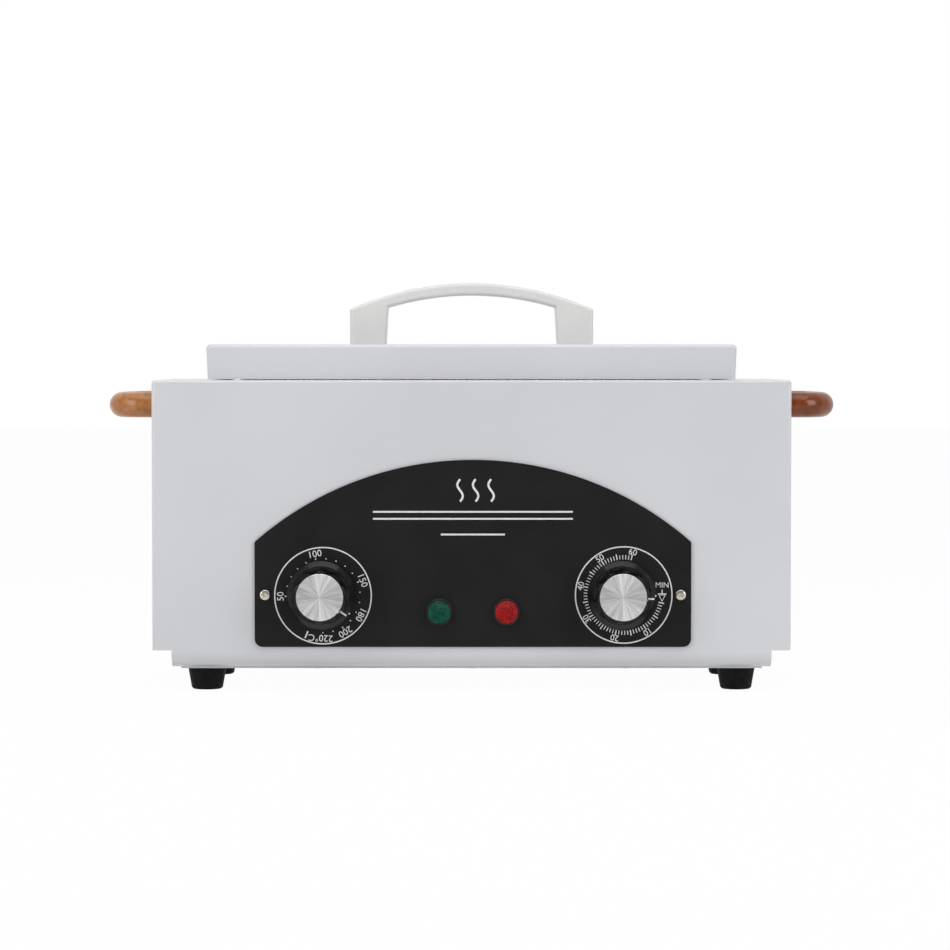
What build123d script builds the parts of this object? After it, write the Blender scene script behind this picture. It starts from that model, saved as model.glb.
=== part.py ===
from build123d import *
import math
import os

os.makedirs("parts", exist_ok=True)

# The sterilizer stands on z = 0 and faces -Y. X = 0 is the middle of its width.
# All sizes are in millimetres.

# Body shell
body_width = 330.0
body_depth = 120.0
body_height = 148.5
base_width = 310.0
side_wall_lift = 9.0
sheet = 1.0
base_roll_radius = 8.5
corner_bend = 2.0
deck_bend = 1.6
underside_opening_length = 252.0
underside_flange = 8.0
works_height = 64.0

# Base plate and feet
base_sheet = 1.0
base_end_margin = 4.0
base_side_margin = 0.5
base_screw_pitch = 80.0
foot_height = 11.5
foot_top_radius = 10.0
foot_tip_radius = 8.0
foot_tip_bevel = 0.8
foot_end_inset = 13.0
foot_side_inset = 0.5
foot_bore_depth = 6.0

# Tank, hung by its rim on the deck under the lid
tank_wall = 0.8
tank_corner = 14.0
tank_floor_radius = 6.0
tank_rim_width = 7.0
deck_clearance = 0.5

# Lid
lid_end_setback = 27.5
lid_side_setback = 8.0
lid_rim_clearance = 3.0
lid_skirt = 18.0
lid_sheet = 1.0
lid_corner = 3.0
lid_bend = 2.2
lid_draft = 2.4
lid_deck_gap = 0.5
liner_sheet = 0.8
liner_rim_height = 8.0
plug_depth = 4.0
plug_clearance = 2.2

# Lid handle
arch_length = 128.8
arch_height = 32.5
arch_shoulder = 18.7
arch_leg_width = 19.0
arch_leg_narrowing = 1.1
arch_opening_shoulder = 19.7
arch_thickness = 6.3
arch_width = 24.0
arch_round = 1.9
arch_core_wall = 3.2
arch_core_depth = 13.0
arch_boss_radius = 4.2

# Wooden side handles
grip_radius = 6.6
grip_reach = 25.5
grip_length = 84.0
grip_bend = 14.0
grip_drop = 13.0
side_screw_depth = 12.0

# Front plate
plate_width = 225.2
plate_bottom_z = 23.4
plate_side_height = 54.2
plate_crown = 42.4
plate_thickness = 1.2
plate_corner = 4.1
plate_shoulder = 1.8
plate_shift = 0.7
plate_screw_spacing = 214.4

# Controls
control_spacing = 155.0
control_z = 50.3
knob_reach = 21.0
knob_gap = 1.0
knob_skirt_radius = 17.8
knob_skirt_edge = 1.8
knob_grip_radius = 14.4
knob_grip_taper = 1.0
knob_flare_height = 5.6
knob_flare_round = 4.0
knob_front_round = 0.9
knob_wall = 2.0
knob_hub_radius = 5.0
knob_cored_depth = 12.0
flute_count = 10
flute_radius = 5.5
flute_depth = 0.9
cap_radius = 12.2
cap_thickness = 0.9
shaft_radius = 3.0
shaft_flat = 0.8
shaft_grip = 10.0
bush_wall = 1.5
running_clearance = 0.05
control_ear_spacing = 28.0

# Pilot lamps
lamp_spacing = 34.7
lamp_z = 41.5
lamp_bezel_radius = 7.0
lamp_bezel_height = 1.6
lamp_seat = 0.6
lamp_lens_radius = 6.0
lamp_lens_rise = 4.2
lamp_lens_shoulder = 2.4
lamp_barrel_radius = 5.4
lamp_barrel_length = 22.0
lamp_clip_radius = 8.0
lamp_clip_thickness = 1.0

# Thermostat and timer behind the front wall
thermostat_width = 34.0
thermostat_height = 30.0
thermostat_depth = 26.0
timer_width = 50.0
timer_height = 44.0
timer_depth = 32.0
bell_radius = 15.0
bell_height = 7.0
ear_sheet = 1.2
ear_step = 6.0
shaft_socket = 4.0
tab_width = 6.3
tab_thickness = 0.8
tab_length = 8.0

# Heater and what surrounds the tank
heater_radius = 3.25
heater_end_margin = 23.5
heater_side_margin = 20.0
heater_leg_bend = 7.0
heater_turn = 15.0
heater_leg = 24.0
terminal_pin_radius = 1.5
terminal_pin_length = 7.0
strap_spacing = 120.0
strap_width = 10.0
strap_sheet = 1.0
seat_gap = 0.3
jacket_thickness = 12.0
jacket_floor = 6.0
heater_cavity = 9.5
shield_sheet = 1.0
shield_flange = 8.0
cutout_radius = 7.8
cutout_height = 5.0
cutout_x = 18.0
cutout_y = -8.5
bulb_radius = 2.5
bulb_length = 80.0
bulb_y = 10.5
capillary_radius = 0.8
capillary_bend = 4.0

# Tray
tray_gap = 3.2
tray_height = 38.0
tray_wall = 0.8
tray_floor_radius = 3.0
tray_rim = 3.0
tray_slot_length = 13.0
tray_slot_width = 4.0
tray_slot_columns = 12
tray_slot_rows = 4
tray_slot_pitch_x = 18.0
tray_slot_pitch_y = 14.0
wire_radius = 1.5
loop_inset = 13.0
loop_height = 14.0
loop_weld = 12.0
loop_bend = 7.0

# Screws, by nominal radius
m3 = 1.5
m3_head_radius = 2.8
m3_head_height = 1.8
m3_nut_flat = 2.75
m3_nut_height = 1.2
m3_bite = 5.0
m4 = 2.0
m4_head_radius = 3.9
m4_head_height = 2.6
m4_nut_flat = 3.5
m4_nut_height = 3.2
m4_end = 2.8
screw_clearance = 0.2
tap_clearance = 0.05

# Gland and terminal block
gland_x = 118.0
gland_z = 46.0
gland_flange_radius = 9.0
gland_reach = 2.5
gland_body_radius = 6.3
gland_bore_radius = 3.6
gland_length = 15.0
gland_nut_radius = 9.0
gland_nut_thickness = 4.0
block_x = 70.0
block_length = 36.0
block_width = 18.0
block_height = 15.0
block_poles = 3

# Back wall vents
vent_length = 26.0
vent_width = 3.2
vent_pitch = 8.0
vent_rows = 5
vent_columns = 3
vent_pitch_x = 36.0
vent_x = -60.0
vent_z = 50.0
base_slot_length = 40.0
base_slot_pitch_x = 60.0
base_slot_rows = 9

# Places that follow from the sizes above
shell_bottom = foot_height + base_sheet
deck_z = shell_bottom + body_height
base_plate_length = base_width - 2 * base_end_margin
base_plate_width = body_depth - 2 * base_roll_radius - 2 * base_side_margin
underside_opening_width = base_plate_width - 2 * underside_flange
foot_spacing_x = base_plate_length - 2 * foot_end_inset
foot_spacing_y = base_plate_width - 2 * foot_top_radius - 2 * foot_side_inset
lid_length = body_width - 2 * lid_end_setback
lid_width = body_depth - 2 * lid_side_setback
tank_length = lid_length - 2 * lid_rim_clearance - 2 * tank_rim_width
tank_width = lid_width - 2 * lid_rim_clearance - 2 * tank_rim_width
tank_depth = body_height - works_height - shield_sheet - jacket_floor - heater_cavity
heater_run = tank_length - 2 * heater_end_margin
heater_pass_spacing = tank_width - 2 * heater_side_margin
tray_length = tank_length - 2 * tank_wall - 2 * tray_gap - 2 * tray_rim
tray_width = tank_width - 2 * tank_wall - 2 * tray_gap - 2 * tray_rim
tray_corner = tank_corner - tank_wall - tray_gap - tray_rim
loop_width = tray_width - 2 * loop_inset
grip_z = deck_z - grip_drop
front_y = (knob_reach - gland_reach - body_depth) / 2
back_y = front_y + body_depth
mid_y = front_y + body_depth / 2
inner_front_y = front_y + sheet
tank_bottom = deck_z - tank_depth
tank_floor = tank_bottom + tank_wall
rim_top = deck_z + tank_wall
lid_bottom = deck_z + lid_deck_gap
lid_top = lid_bottom + lid_skirt
cavity_bottom = tank_bottom - heater_cavity
jacket_bottom = cavity_bottom - jacket_floor
shield_bottom = jacket_bottom - shield_sheet
heater_z = tank_bottom - seat_gap - heater_radius
strap_top = heater_z - heater_radius - seat_gap
knob_back_y = front_y - plate_thickness - knob_gap
knob_front_y = front_y - knob_reach
knob_length = knob_reach - plate_thickness - knob_gap

front_face = Plane(origin=(0, front_y, 0), x_dir=(1, 0, 0), z_dir=(0, -1, 0))
plate_face = Plane(origin=(plate_shift, front_y, 0), x_dir=(1, 0, 0), z_dir=(0, -1, 0))
back_face = Plane(origin=(0, back_y, 0), x_dir=(-1, 0, 0), z_dir=(0, 1, 0))
foot_spots = [
    (x, mid_y + y)
    for x in (-foot_spacing_x / 2, foot_spacing_x / 2)
    for y in (-foot_spacing_y / 2, foot_spacing_y / 2)
]
rail_spots = [
    (x, mid_y + side * (underside_opening_width / 2 + base_plate_width / 2) / 2)
    for x in (-base_screw_pitch, 0, base_screw_pitch)
    for side in (-1, 1)
]
plate_screw_spots = [(-plate_screw_spacing / 2, control_z), (plate_screw_spacing / 2, control_z)]
lamp_spots = [(-lamp_spacing / 2, lamp_z), (lamp_spacing / 2, lamp_z)]
ear_spots = [
    (control + side * control_ear_spacing / 2, control_z)
    for control in (-control_spacing / 2, control_spacing / 2)
    for side in (-1, 1)
]
arch_leg_x = arch_length / 2 - arch_leg_width / 2
grip_bar_x = body_width / 2 + grip_reach - grip_radius
grip_leg_y = grip_length / 2 - grip_radius


def save(piece, name):
    """Label a finished piece and write it under its name."""
    piece.part.label = name
    export_step(piece.part, f"parts/{name}.step")


def pan_screw(radius, length, head_radius, head_height):
    """A pan-head screw along Z, its head resting on z = 0 and its shank below."""
    with BuildPart() as screw:
        with BuildSketch(Plane.XZ) as outline:
            with BuildLine():
                Polyline(
                    (0, -length),
                    (radius, -length),
                    (radius, 0),
                    (head_radius, 0),
                    (head_radius, head_height),
                    (0, head_height),
                    close=True,
                )
            make_face()
            rim = outline.vertices().group_by(Axis.Y)[-1].sort_by(Axis.X)[-1]
            chamfer(rim, length=head_height / 2)
        revolve(axis=Axis.Z)
    return screw


def hex_nut(bore_radius, flat_radius, height):
    """A hexagon nut that stands on z = 0."""
    with BuildPart() as nut:
        with BuildSketch():
            RegularPolygon(radius=flat_radius, side_count=6, major_radius=False)
            Circle(bore_radius, mode=Mode.SUBTRACT)
        extrude(amount=height)
    return nut


def housing_form(inset):
    """The body's outline drawn in by inset: a wide box above a narrower foot with rolled long edges."""
    with BuildPart() as form:
        with BuildSketch(Plane.XY.offset(shell_bottom + side_wall_lift + inset)):
            with Locations((0, mid_y)):
                Rectangle(body_width - 2 * inset, body_depth - 2 * inset)
        extrude(amount=body_height - side_wall_lift - 2 * inset)
        fillet(form.edges().filter_by(Axis.Z), radius=corner_bend - inset)
        fillet(form.faces().sort_by(Axis.Z)[-1].edges(), radius=deck_bend - inset)
        with BuildSketch(Plane.YZ) as foot:
            with Locations((mid_y, shell_bottom + body_height / 4)):
                Rectangle(body_depth - 2 * inset, body_height / 2 - 2 * inset)
            fillet(foot.vertices().group_by(Axis.Y)[0], radius=base_roll_radius - inset)
        extrude(amount=base_width / 2 - inset, both=True)
    return form


# Body shell: folded and welded sheet, open to the tank above and to the works below.
outer_form = housing_form(0)
inner_form = housing_form(sheet)

with BuildPart() as body_shell:
    add(outer_form)
    add(inner_form, mode=Mode.SUBTRACT)
    with BuildSketch(Plane.XY.offset(deck_z)):
        with Locations((0, mid_y)):
            RectangleRounded(
                tank_length + 2 * deck_clearance,
                tank_width + 2 * deck_clearance,
                tank_corner + deck_clearance,
            )
    extrude(amount=-2 * sheet, mode=Mode.SUBTRACT)
    with BuildSketch(Plane.XY.offset(shell_bottom)):
        with Locations((0, mid_y)):
            RectangleRounded(underside_opening_length, underside_opening_width, corner_bend)
        with Locations(*foot_spots):
            Circle(m4 + screw_clearance)
        with Locations(*rail_spots):
            Circle(m3 + tap_clearance)
    extrude(amount=2 * sheet, mode=Mode.SUBTRACT)
    with BuildSketch(front_face):
        for control in (-control_spacing / 2, control_spacing / 2):
            with Locations((control, control_z)):
                Circle(shaft_radius + bush_wall + seat_gap)
        with Locations(*ear_spots):
            Circle(m3 + screw_clearance)
    extrude(amount=-2 * sheet, mode=Mode.SUBTRACT)
    with BuildSketch(plate_face):
        with Locations(*lamp_spots):
            Circle(lamp_barrel_radius + screw_clearance)
        with Locations(*plate_screw_spots):
            Circle(m3 + tap_clearance)
    extrude(amount=-2 * sheet, mode=Mode.SUBTRACT)
    with BuildSketch(back_face):
        with Locations((-gland_x, gland_z)):
            Circle(gland_body_radius + screw_clearance)
        with Locations((-vent_x, vent_z)):
            with GridLocations(vent_pitch_x, vent_pitch, vent_columns, vent_rows):
                SlotOverall(vent_length, vent_width)
    extrude(amount=-2 * sheet, mode=Mode.SUBTRACT)
    for side in (-1, 1):
        with BuildSketch(Plane(origin=(side * body_width / 2, mid_y, 0), x_dir=(0, 1, 0), z_dir=(1, 0, 0))):
            with Locations((-grip_leg_y, grip_z), (grip_leg_y, grip_z)):
                Circle(m4 + screw_clearance)
        extrude(amount=-side * 2 * sheet, mode=Mode.SUBTRACT)
save(body_shell, "body_shell")

# Base plate: a flat cover under the shell's flanges, with air slots.
with BuildPart() as base_plate:
    with BuildSketch(Plane.XY.offset(foot_height)):
        with Locations((0, mid_y)):
            RectangleRounded(base_plate_length, base_plate_width, corner_bend)
            with GridLocations(base_slot_pitch_x, vent_pitch, vent_columns, base_slot_rows):
                SlotOverall(base_slot_length, vent_width, mode=Mode.SUBTRACT)
        with Locations(*foot_spots):
            Circle(m4 + screw_clearance, mode=Mode.SUBTRACT)
        with Locations(*rail_spots):
            Circle(m3 + screw_clearance, mode=Mode.SUBTRACT)
    extrude(amount=base_sheet)
save(base_plate, "base_plate")

# Feet: rubber cones with a sunk bore for the screw head.
with BuildPart() as foot:
    with BuildSketch(Plane.XZ):
        with BuildLine():
            Polyline(
                (m4 + screw_clearance, foot_bore_depth),
                (m4_head_radius + 2 * screw_clearance, foot_bore_depth),
                (m4_head_radius + 2 * screw_clearance, 0),
                (foot_tip_radius, 0),
                (foot_top_radius, foot_height),
                (m4 + screw_clearance, foot_height),
                close=True,
            )
        make_face()
    revolve(axis=Axis.Z)
    chamfer(foot.edges().group_by(Axis.Z)[0].sort_by(SortBy.LENGTH)[-1], length=foot_tip_bevel)

foot_screw_length = foot_height - foot_bore_depth + base_sheet + sheet + m4_nut_height + m4_end
foot_screw = pan_screw(m4, foot_screw_length, m4_head_radius, m4_head_height)
foot_nut = hex_nut(m4 + tap_clearance, m4_nut_flat, m4_nut_height)

with BuildPart() as feet:
    with Locations(*foot_spots):
        add(foot)
save(feet, "feet")

with BuildPart() as foot_screws:
    with Locations(*[Plane(origin=(x, y, foot_bore_depth), z_dir=(0, 0, -1)) for x, y in foot_spots]):
        add(foot_screw)
save(foot_screws, "foot_screws")

with BuildPart() as foot_nuts:
    with Locations(*[(x, y, shell_bottom + sheet) for x, y in foot_spots]):
        add(foot_nut)
save(foot_nuts, "foot_nuts")

rail_screw = pan_screw(m3, base_sheet + sheet + m3_bite, m3_head_radius, m3_head_height)
with BuildPart() as base_screws:
    with Locations(*[Plane(origin=(x, y, foot_height), z_dir=(0, 0, -1)) for x, y in rail_spots]):
        add(rail_screw)
save(base_screws, "base_screws")

# Front plate: flat below, with straight sides and an arched top.
with BuildPart() as front_plate:
    with BuildSketch(plate_face) as plate_outline:
        with BuildLine():
            bottom = Line((-plate_width / 2, plate_bottom_z), (plate_width / 2, plate_bottom_z))
            right = Line(bottom @ 1, (plate_width / 2, plate_bottom_z + plate_side_height))
            crown = ThreePointArc(
                right @ 1,
                (0, plate_bottom_z + plate_side_height + plate_crown),
                (-plate_width / 2, plate_bottom_z + plate_side_height),
            )
            Line(crown @ 1, bottom @ 0)
        make_face()
        fillet(plate_outline.vertices().group_by(Axis.Y)[0], radius=plate_corner)
        fillet(plate_outline.vertices().group_by(Axis.Y)[-1], radius=plate_shoulder)
        with Locations(*lamp_spots):
            Circle(lamp_barrel_radius + screw_clearance, mode=Mode.SUBTRACT)
        with Locations(*plate_screw_spots):
            Circle(m3 + screw_clearance, mode=Mode.SUBTRACT)
        for control in (-control_spacing / 2, control_spacing / 2):
            with Locations((control - plate_shift, control_z)):
                Circle(shaft_radius + bush_wall + 2 * seat_gap, mode=Mode.SUBTRACT)
        with Locations(*[(x - plate_shift, z) for x, z in ear_spots]):
            Circle(m3_head_radius + screw_clearance, mode=Mode.SUBTRACT)
    extrude(amount=plate_thickness)
save(front_plate, "front_plate")

plate_screw = pan_screw(m3, plate_thickness + sheet + m3_bite, m3_head_radius, m3_head_height)
with BuildPart() as plate_screws:
    with Locations(
        *[
            Plane(origin=(plate_shift + x, front_y - plate_thickness, z), z_dir=(0, -1, 0))
            for x, z in plate_screw_spots
        ]
    ):
        add(plate_screw)
save(plate_screws, "plate_screws")


# Knob: moulded, hollow behind, with a flared skirt, a fluted grip and a seat for the metal cap.
def control_knob(x):
    """One control knob on its shaft's axis at x."""
    axis = Axis((x, knob_back_y, control_z), (0, -1, 0))
    profile = Plane(origin=(x, knob_back_y, control_z), x_dir=(1, 0, 0), z_dir=(0, 0, -1))
    front = Plane(origin=(x, knob_front_y, control_z), x_dir=(1, 0, 0), z_dir=(0, -1, 0))
    back = Plane(origin=(x, knob_back_y, control_z), x_dir=(1, 0, 0), z_dir=(0, 1, 0))
    front_radius = knob_grip_radius - knob_grip_taper
    with BuildPart() as knob:
        with BuildSketch(profile) as outline:
            with BuildLine():
                Polyline(
                    (0, 0),
                    (knob_skirt_radius, 0),
                    (knob_skirt_radius, knob_skirt_edge),
                    (knob_grip_radius, knob_flare_height),
                    (front_radius, knob_length),
                    (0, knob_length),
                    close=True,
                )
            make_face()
            flare = outline.vertices().filter_by_position(Axis.Y, knob_flare_height, knob_flare_height)
            fillet(flare, radius=knob_flare_round)
            rim = outline.vertices().group_by(Axis.Y)[-1].sort_by(Axis.X)[-1]
            fillet(rim, radius=knob_front_round)
        revolve(axis=axis)
        with BuildSketch(front):
            with PolarLocations(front_radius + flute_radius - flute_depth, flute_count):
                Circle(flute_radius)
        extrude(amount=-(knob_length - knob_flare_height), mode=Mode.SUBTRACT)
        with BuildSketch(front):
            Circle(cap_radius + running_clearance)
        extrude(amount=-cap_thickness, mode=Mode.SUBTRACT)
        with BuildSketch(profile):
            with BuildLine():
                Polyline(
                    (knob_hub_radius, 0),
                    (knob_skirt_radius - knob_wall, 0),
                    (knob_grip_radius - knob_wall - flute_depth, knob_flare_height),
                    (front_radius - knob_wall - flute_depth, knob_cored_depth),
                    (knob_hub_radius, knob_cored_depth),
                    close=True,
                )
            make_face()
        revolve(axis=axis, mode=Mode.SUBTRACT)
        with BuildSketch(back):
            Circle(shaft_radius + running_clearance)
            with Locations((0, shaft_radius)):
                Rectangle(2 * shaft_radius + 1, 2 * (shaft_flat - running_clearance), mode=Mode.SUBTRACT)
        extrude(amount=-shaft_grip, mode=Mode.SUBTRACT)
    return knob


def knob_cap(x):
    """The spun metal disc set flush in the knob's front."""
    with BuildPart() as cap:
        with BuildSketch(Plane(origin=(x, knob_front_y, control_z), x_dir=(1, 0, 0), z_dir=(0, 1, 0))):
            Circle(cap_radius)
        extrude(amount=cap_thickness)
        chamfer(cap.edges().group_by(Axis.Y)[0], length=0.25)
    return cap


def control_shaft(x):
    """The round shaft with a flat where the knob grips it."""
    shaft_back_y = inner_front_y + ear_sheet + shaft_socket
    shaft_front_y = knob_back_y - shaft_grip + seat_gap
    back = Plane(origin=(x, shaft_back_y, control_z), x_dir=(1, 0, 0), z_dir=(0, -1, 0))
    flat = Plane(origin=(x, shaft_front_y, control_z), x_dir=(1, 0, 0), z_dir=(0, 1, 0))
    with BuildPart() as shaft:
        with BuildSketch(back):
            Circle(shaft_radius)
        extrude(amount=shaft_back_y - shaft_front_y)
        with BuildSketch(flat):
            with Locations((0, shaft_radius)):
                Rectangle(2 * shaft_radius + 1, 2 * shaft_flat)
        extrude(amount=shaft_grip, mode=Mode.SUBTRACT)
    return shaft


for name, x in (("temperature", -control_spacing / 2), ("timer", control_spacing / 2)):
    save(control_knob(x), f"{name}_knob")
    save(knob_cap(x), f"{name}_knob_cap")
    save(control_shaft(x), f"{name}_shaft")


def control_case(x, width, height, depth):
    """A control's case with its mounting ears and the bush that carries the shaft."""
    wall = Plane(origin=(x, inner_front_y, control_z), x_dir=(1, 0, 0), z_dir=(0, -1, 0))
    bush_length = sheet + plate_thickness + knob_gap / 2
    with BuildPart() as case:
        with BuildSketch(wall):
            SlotOverall(control_ear_spacing + 6 * m3, 6 * m3)
            with Locations((-control_ear_spacing / 2, 0), (control_ear_spacing / 2, 0)):
                Circle(m3 + tap_clearance, mode=Mode.SUBTRACT)
        extrude(amount=-ear_sheet)
        with BuildSketch(wall.offset(-ear_sheet - ear_step)):
            RectangleRounded(width, height, 2 * m3)
        extrude(amount=-(depth - ear_step))
        with BuildSketch(wall.offset(-ear_sheet)):
            Rectangle(control_ear_spacing - 8 * m3, height * 0.6)
        extrude(amount=-ear_step - ear_sheet)
        with BuildSketch(wall):
            Circle(shaft_radius + bush_wall)
        extrude(amount=bush_length)
        with BuildSketch(wall.offset(bush_length)):
            Circle(shaft_radius + running_clearance)
        extrude(amount=-(bush_length + ear_sheet + shaft_socket + seat_gap), mode=Mode.SUBTRACT)
        with BuildSketch(wall.offset(-ear_sheet - depth)):
            with GridLocations(width / 2, height / 2, 2, 1):
                Rectangle(tab_thickness, tab_width)
        extrude(amount=-tab_length)
    return case


# Thermostat: a plain case, its capillary is a piece of its own.
thermostat = control_case(-control_spacing / 2, thermostat_width, thermostat_height, thermostat_depth)
save(thermostat, "thermostat")

# Timer: a clockwork case with its bell behind.
timer_case = control_case(control_spacing / 2, timer_width, timer_height, timer_depth)
with BuildPart() as timer:
    add(timer_case)
    bell_y = inner_front_y + ear_sheet + timer_depth
    with BuildSketch(Plane(origin=(control_spacing / 2, bell_y, control_z), x_dir=(1, 0, 0), z_dir=(0, 0, 1))):
        with BuildLine():
            rise = Line((0, 0), (0, bell_height))
            dome = TangentArc(rise @ 1, (bell_radius, 0), tangent=(1, 0))
            Line(dome @ 1, rise @ 0)
        make_face()
    revolve(axis=Axis((control_spacing / 2, bell_y, control_z), (0, 1, 0)))
save(timer, "timer")

control_screw = pan_screw(m3, sheet + ear_sheet + m3_bite / 2, m3_head_radius, m3_head_height)
with BuildPart() as control_screws:
    with Locations(*[Plane(origin=(x, front_y, z), z_dir=(0, -1, 0)) for x, z in ear_spots]):
        add(control_screw)
save(control_screws, "control_screws")


# Pilot lamps: black housings with a bezel, coloured lenses, and push-on clips behind the wall.
lamp_front_y = front_y - plate_thickness
with BuildPart() as lamp_housing:
    with BuildSketch(Plane.XZ):
        with BuildLine():
            Polyline(
                (0, lamp_seat),
                (lamp_lens_radius + running_clearance, lamp_seat),
                (lamp_lens_radius + running_clearance, lamp_bezel_height),
                (lamp_bezel_radius - 0.4, lamp_bezel_height),
                (lamp_bezel_radius, lamp_bezel_height - 0.4),
                (lamp_bezel_radius, 0),
                (lamp_barrel_radius, 0),
                (lamp_barrel_radius, -lamp_barrel_length),
                (0, -lamp_barrel_length),
                close=True,
            )
        make_face()
    revolve(axis=Axis.Z)
    with BuildSketch(Plane.XY.offset(-lamp_barrel_length)):
        with GridLocations(lamp_barrel_radius, 0, 2, 1):
            Rectangle(tab_thickness, tab_width * 0.6)
    extrude(amount=-tab_length)

with BuildPart() as lamp_lens:
    with BuildSketch(Plane.XZ):
        with BuildLine():
            dome = TangentArc((0, lamp_lens_rise), (lamp_lens_radius, lamp_lens_shoulder), tangent=(1, 0))
            Polyline(dome @ 1, (lamp_lens_radius, lamp_seat), (0, lamp_seat), dome @ 0)
        make_face()
    revolve(axis=Axis.Z)

with BuildPart() as lamp_clip:
    with BuildSketch():
        RegularPolygon(radius=lamp_clip_radius, side_count=8)
        Circle(lamp_barrel_radius + tap_clearance, mode=Mode.SUBTRACT)
    extrude(amount=-lamp_clip_thickness)

lamp_planes = [Plane(origin=(plate_shift + x, lamp_front_y, z), z_dir=(0, -1, 0)) for x, z in lamp_spots]
clip_planes = [Plane(origin=(plate_shift + x, inner_front_y, z), z_dir=(0, -1, 0)) for x, z in lamp_spots]

with BuildPart() as lamp_housings:
    with Locations(*lamp_planes):
        add(lamp_housing)
save(lamp_housings, "lamp_housings")

with BuildPart() as lamp_clips:
    with Locations(*clip_planes):
        add(lamp_clip)
save(lamp_clips, "lamp_clips")

for name, place in zip(("green", "red"), lamp_planes):
    with BuildPart() as coloured_lens:
        with Locations(place):
            add(lamp_lens)
    save(coloured_lens, f"{name}_lens")

# Tank: a deep-drawn tub that hangs by its rim on the deck.
with BuildPart() as tank:
    with BuildSketch(Plane.XY.offset(deck_z)):
        with Locations((0, mid_y)):
            RectangleRounded(tank_length, tank_width, tank_corner)
    extrude(amount=-tank_depth)
    fillet(tank.faces().sort_by(Axis.Z)[0].edges(), radius=tank_floor_radius)
    offset(amount=-tank_wall, openings=tank.faces().sort_by(Axis.Z)[-1])
    with BuildSketch(Plane.XY.offset(deck_z)):
        with Locations((0, mid_y)):
            RectangleRounded(
                tank_length + 2 * tank_rim_width,
                tank_width + 2 * tank_rim_width,
                tank_corner + tank_rim_width,
            )
            RectangleRounded(
                tank_length - 2 * tank_wall,
                tank_width - 2 * tank_wall,
                tank_corner - tank_wall,
                mode=Mode.SUBTRACT,
            )
    extrude(amount=tank_wall)
    for x in (-strap_spacing / 2, strap_spacing / 2):
        with BuildSketch(Plane.XY.offset(tank_bottom)):
            with Locations((x, mid_y)):
                Circle(m3)
        extrude(amount=-heater_cavity + seat_gap)
save(tank, "tank")

# Insulation jacket: a soft tub around the tank, with a cavity below for the heater.
with BuildPart() as insulation_jacket:
    with BuildSketch(Plane.XY.offset(jacket_bottom)):
        with Locations((0, mid_y)):
            RectangleRounded(
                tank_length + 2 * jacket_thickness,
                tank_width + 2 * jacket_thickness,
                tank_corner + jacket_thickness,
            )
    extrude(amount=deck_z - sheet - seat_gap - jacket_bottom)
    with BuildSketch(Plane.XY.offset(cavity_bottom)):
        with Locations((0, mid_y)):
            RectangleRounded(
                tank_length + 2 * seat_gap,
                tank_width + 2 * seat_gap,
                tank_corner + seat_gap,
            )
    extrude(amount=deck_z - cavity_bottom, mode=Mode.SUBTRACT)
    with BuildSketch(Plane.XY.offset(jacket_bottom)):
        with Locations((heater_run / 2, mid_y)):
            with GridLocations(0, heater_pass_spacing, 1, 2):
                Circle(heater_radius + 1)
        with Locations((-control_spacing / 2, mid_y + bulb_y)):
            Circle(capillary_radius + 1)
    extrude(amount=jacket_floor, mode=Mode.SUBTRACT)
save(insulation_jacket, "insulation_jacket")

# Heat shield: a folded sheet across the body that carries the jacket.
with BuildPart() as heat_shield:
    shield_length = body_width - 2 * sheet - 2 * seat_gap
    shield_width = body_depth - 2 * sheet - 2 * seat_gap
    with BuildSketch(Plane.XY.offset(shield_bottom)):
        with Locations((0, mid_y)):
            Rectangle(shield_length, shield_width)
        with Locations((heater_run / 2, mid_y)):
            with GridLocations(0, heater_pass_spacing, 1, 2):
                Circle(heater_radius + 1, mode=Mode.SUBTRACT)
        with Locations((-control_spacing / 2, mid_y + bulb_y)):
            Circle(capillary_radius + 1, mode=Mode.SUBTRACT)
    extrude(amount=shield_sheet)
    for side in (-1, 1):
        with BuildSketch(Plane.XY.offset(shield_bottom)):
            with Locations((side * (shield_length - shield_sheet) / 2, mid_y)):
                Rectangle(shield_sheet, shield_width - 4 * corner_bend)
        extrude(amount=-shield_flange)
save(heat_shield, "heat_shield")

# Heater: one tubular element bent into a hairpin, its ends turned down to the wiring.
heater_path = [
    (heater_run / 2, mid_y - heater_pass_spacing / 2, heater_z - heater_leg),
    (heater_run / 2, mid_y - heater_pass_spacing / 2, heater_z),
    (-heater_run / 2, mid_y - heater_pass_spacing / 2, heater_z),
    (-heater_run / 2, mid_y + heater_pass_spacing / 2, heater_z),
    (heater_run / 2, mid_y + heater_pass_spacing / 2, heater_z),
    (heater_run / 2, mid_y + heater_pass_spacing / 2, heater_z - heater_leg),
]
with BuildPart() as heater:
    with BuildLine():
        route = FilletPolyline(
            *heater_path,
            radius=[heater_leg_bend, heater_turn, heater_turn, heater_leg_bend],
        )
    with BuildSketch(Plane(origin=route @ 0, z_dir=route % 0)):
        Circle(heater_radius)
    sweep(path=route)
    with BuildSketch(Plane.XY.offset(heater_z - heater_leg)):
        with Locations((heater_run / 2, mid_y)):
            with GridLocations(0, heater_pass_spacing, 1, 2):
                Circle(terminal_pin_radius)
    extrude(amount=-terminal_pin_length)
save(heater, "heater")

# Straps: two strips that hold the heater up against the tank, each on a stud.
with BuildPart() as heater_straps:
    with BuildSketch(Plane.XY.offset(strap_top)):
        with Locations((0, mid_y)):
            with GridLocations(strap_spacing, 0, 2, 1):
                Rectangle(strap_width, heater_pass_spacing + 4 * heater_radius)
                Circle(m3 + screw_clearance, mode=Mode.SUBTRACT)
    extrude(amount=-strap_sheet)
save(heater_straps, "heater_straps")

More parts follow.
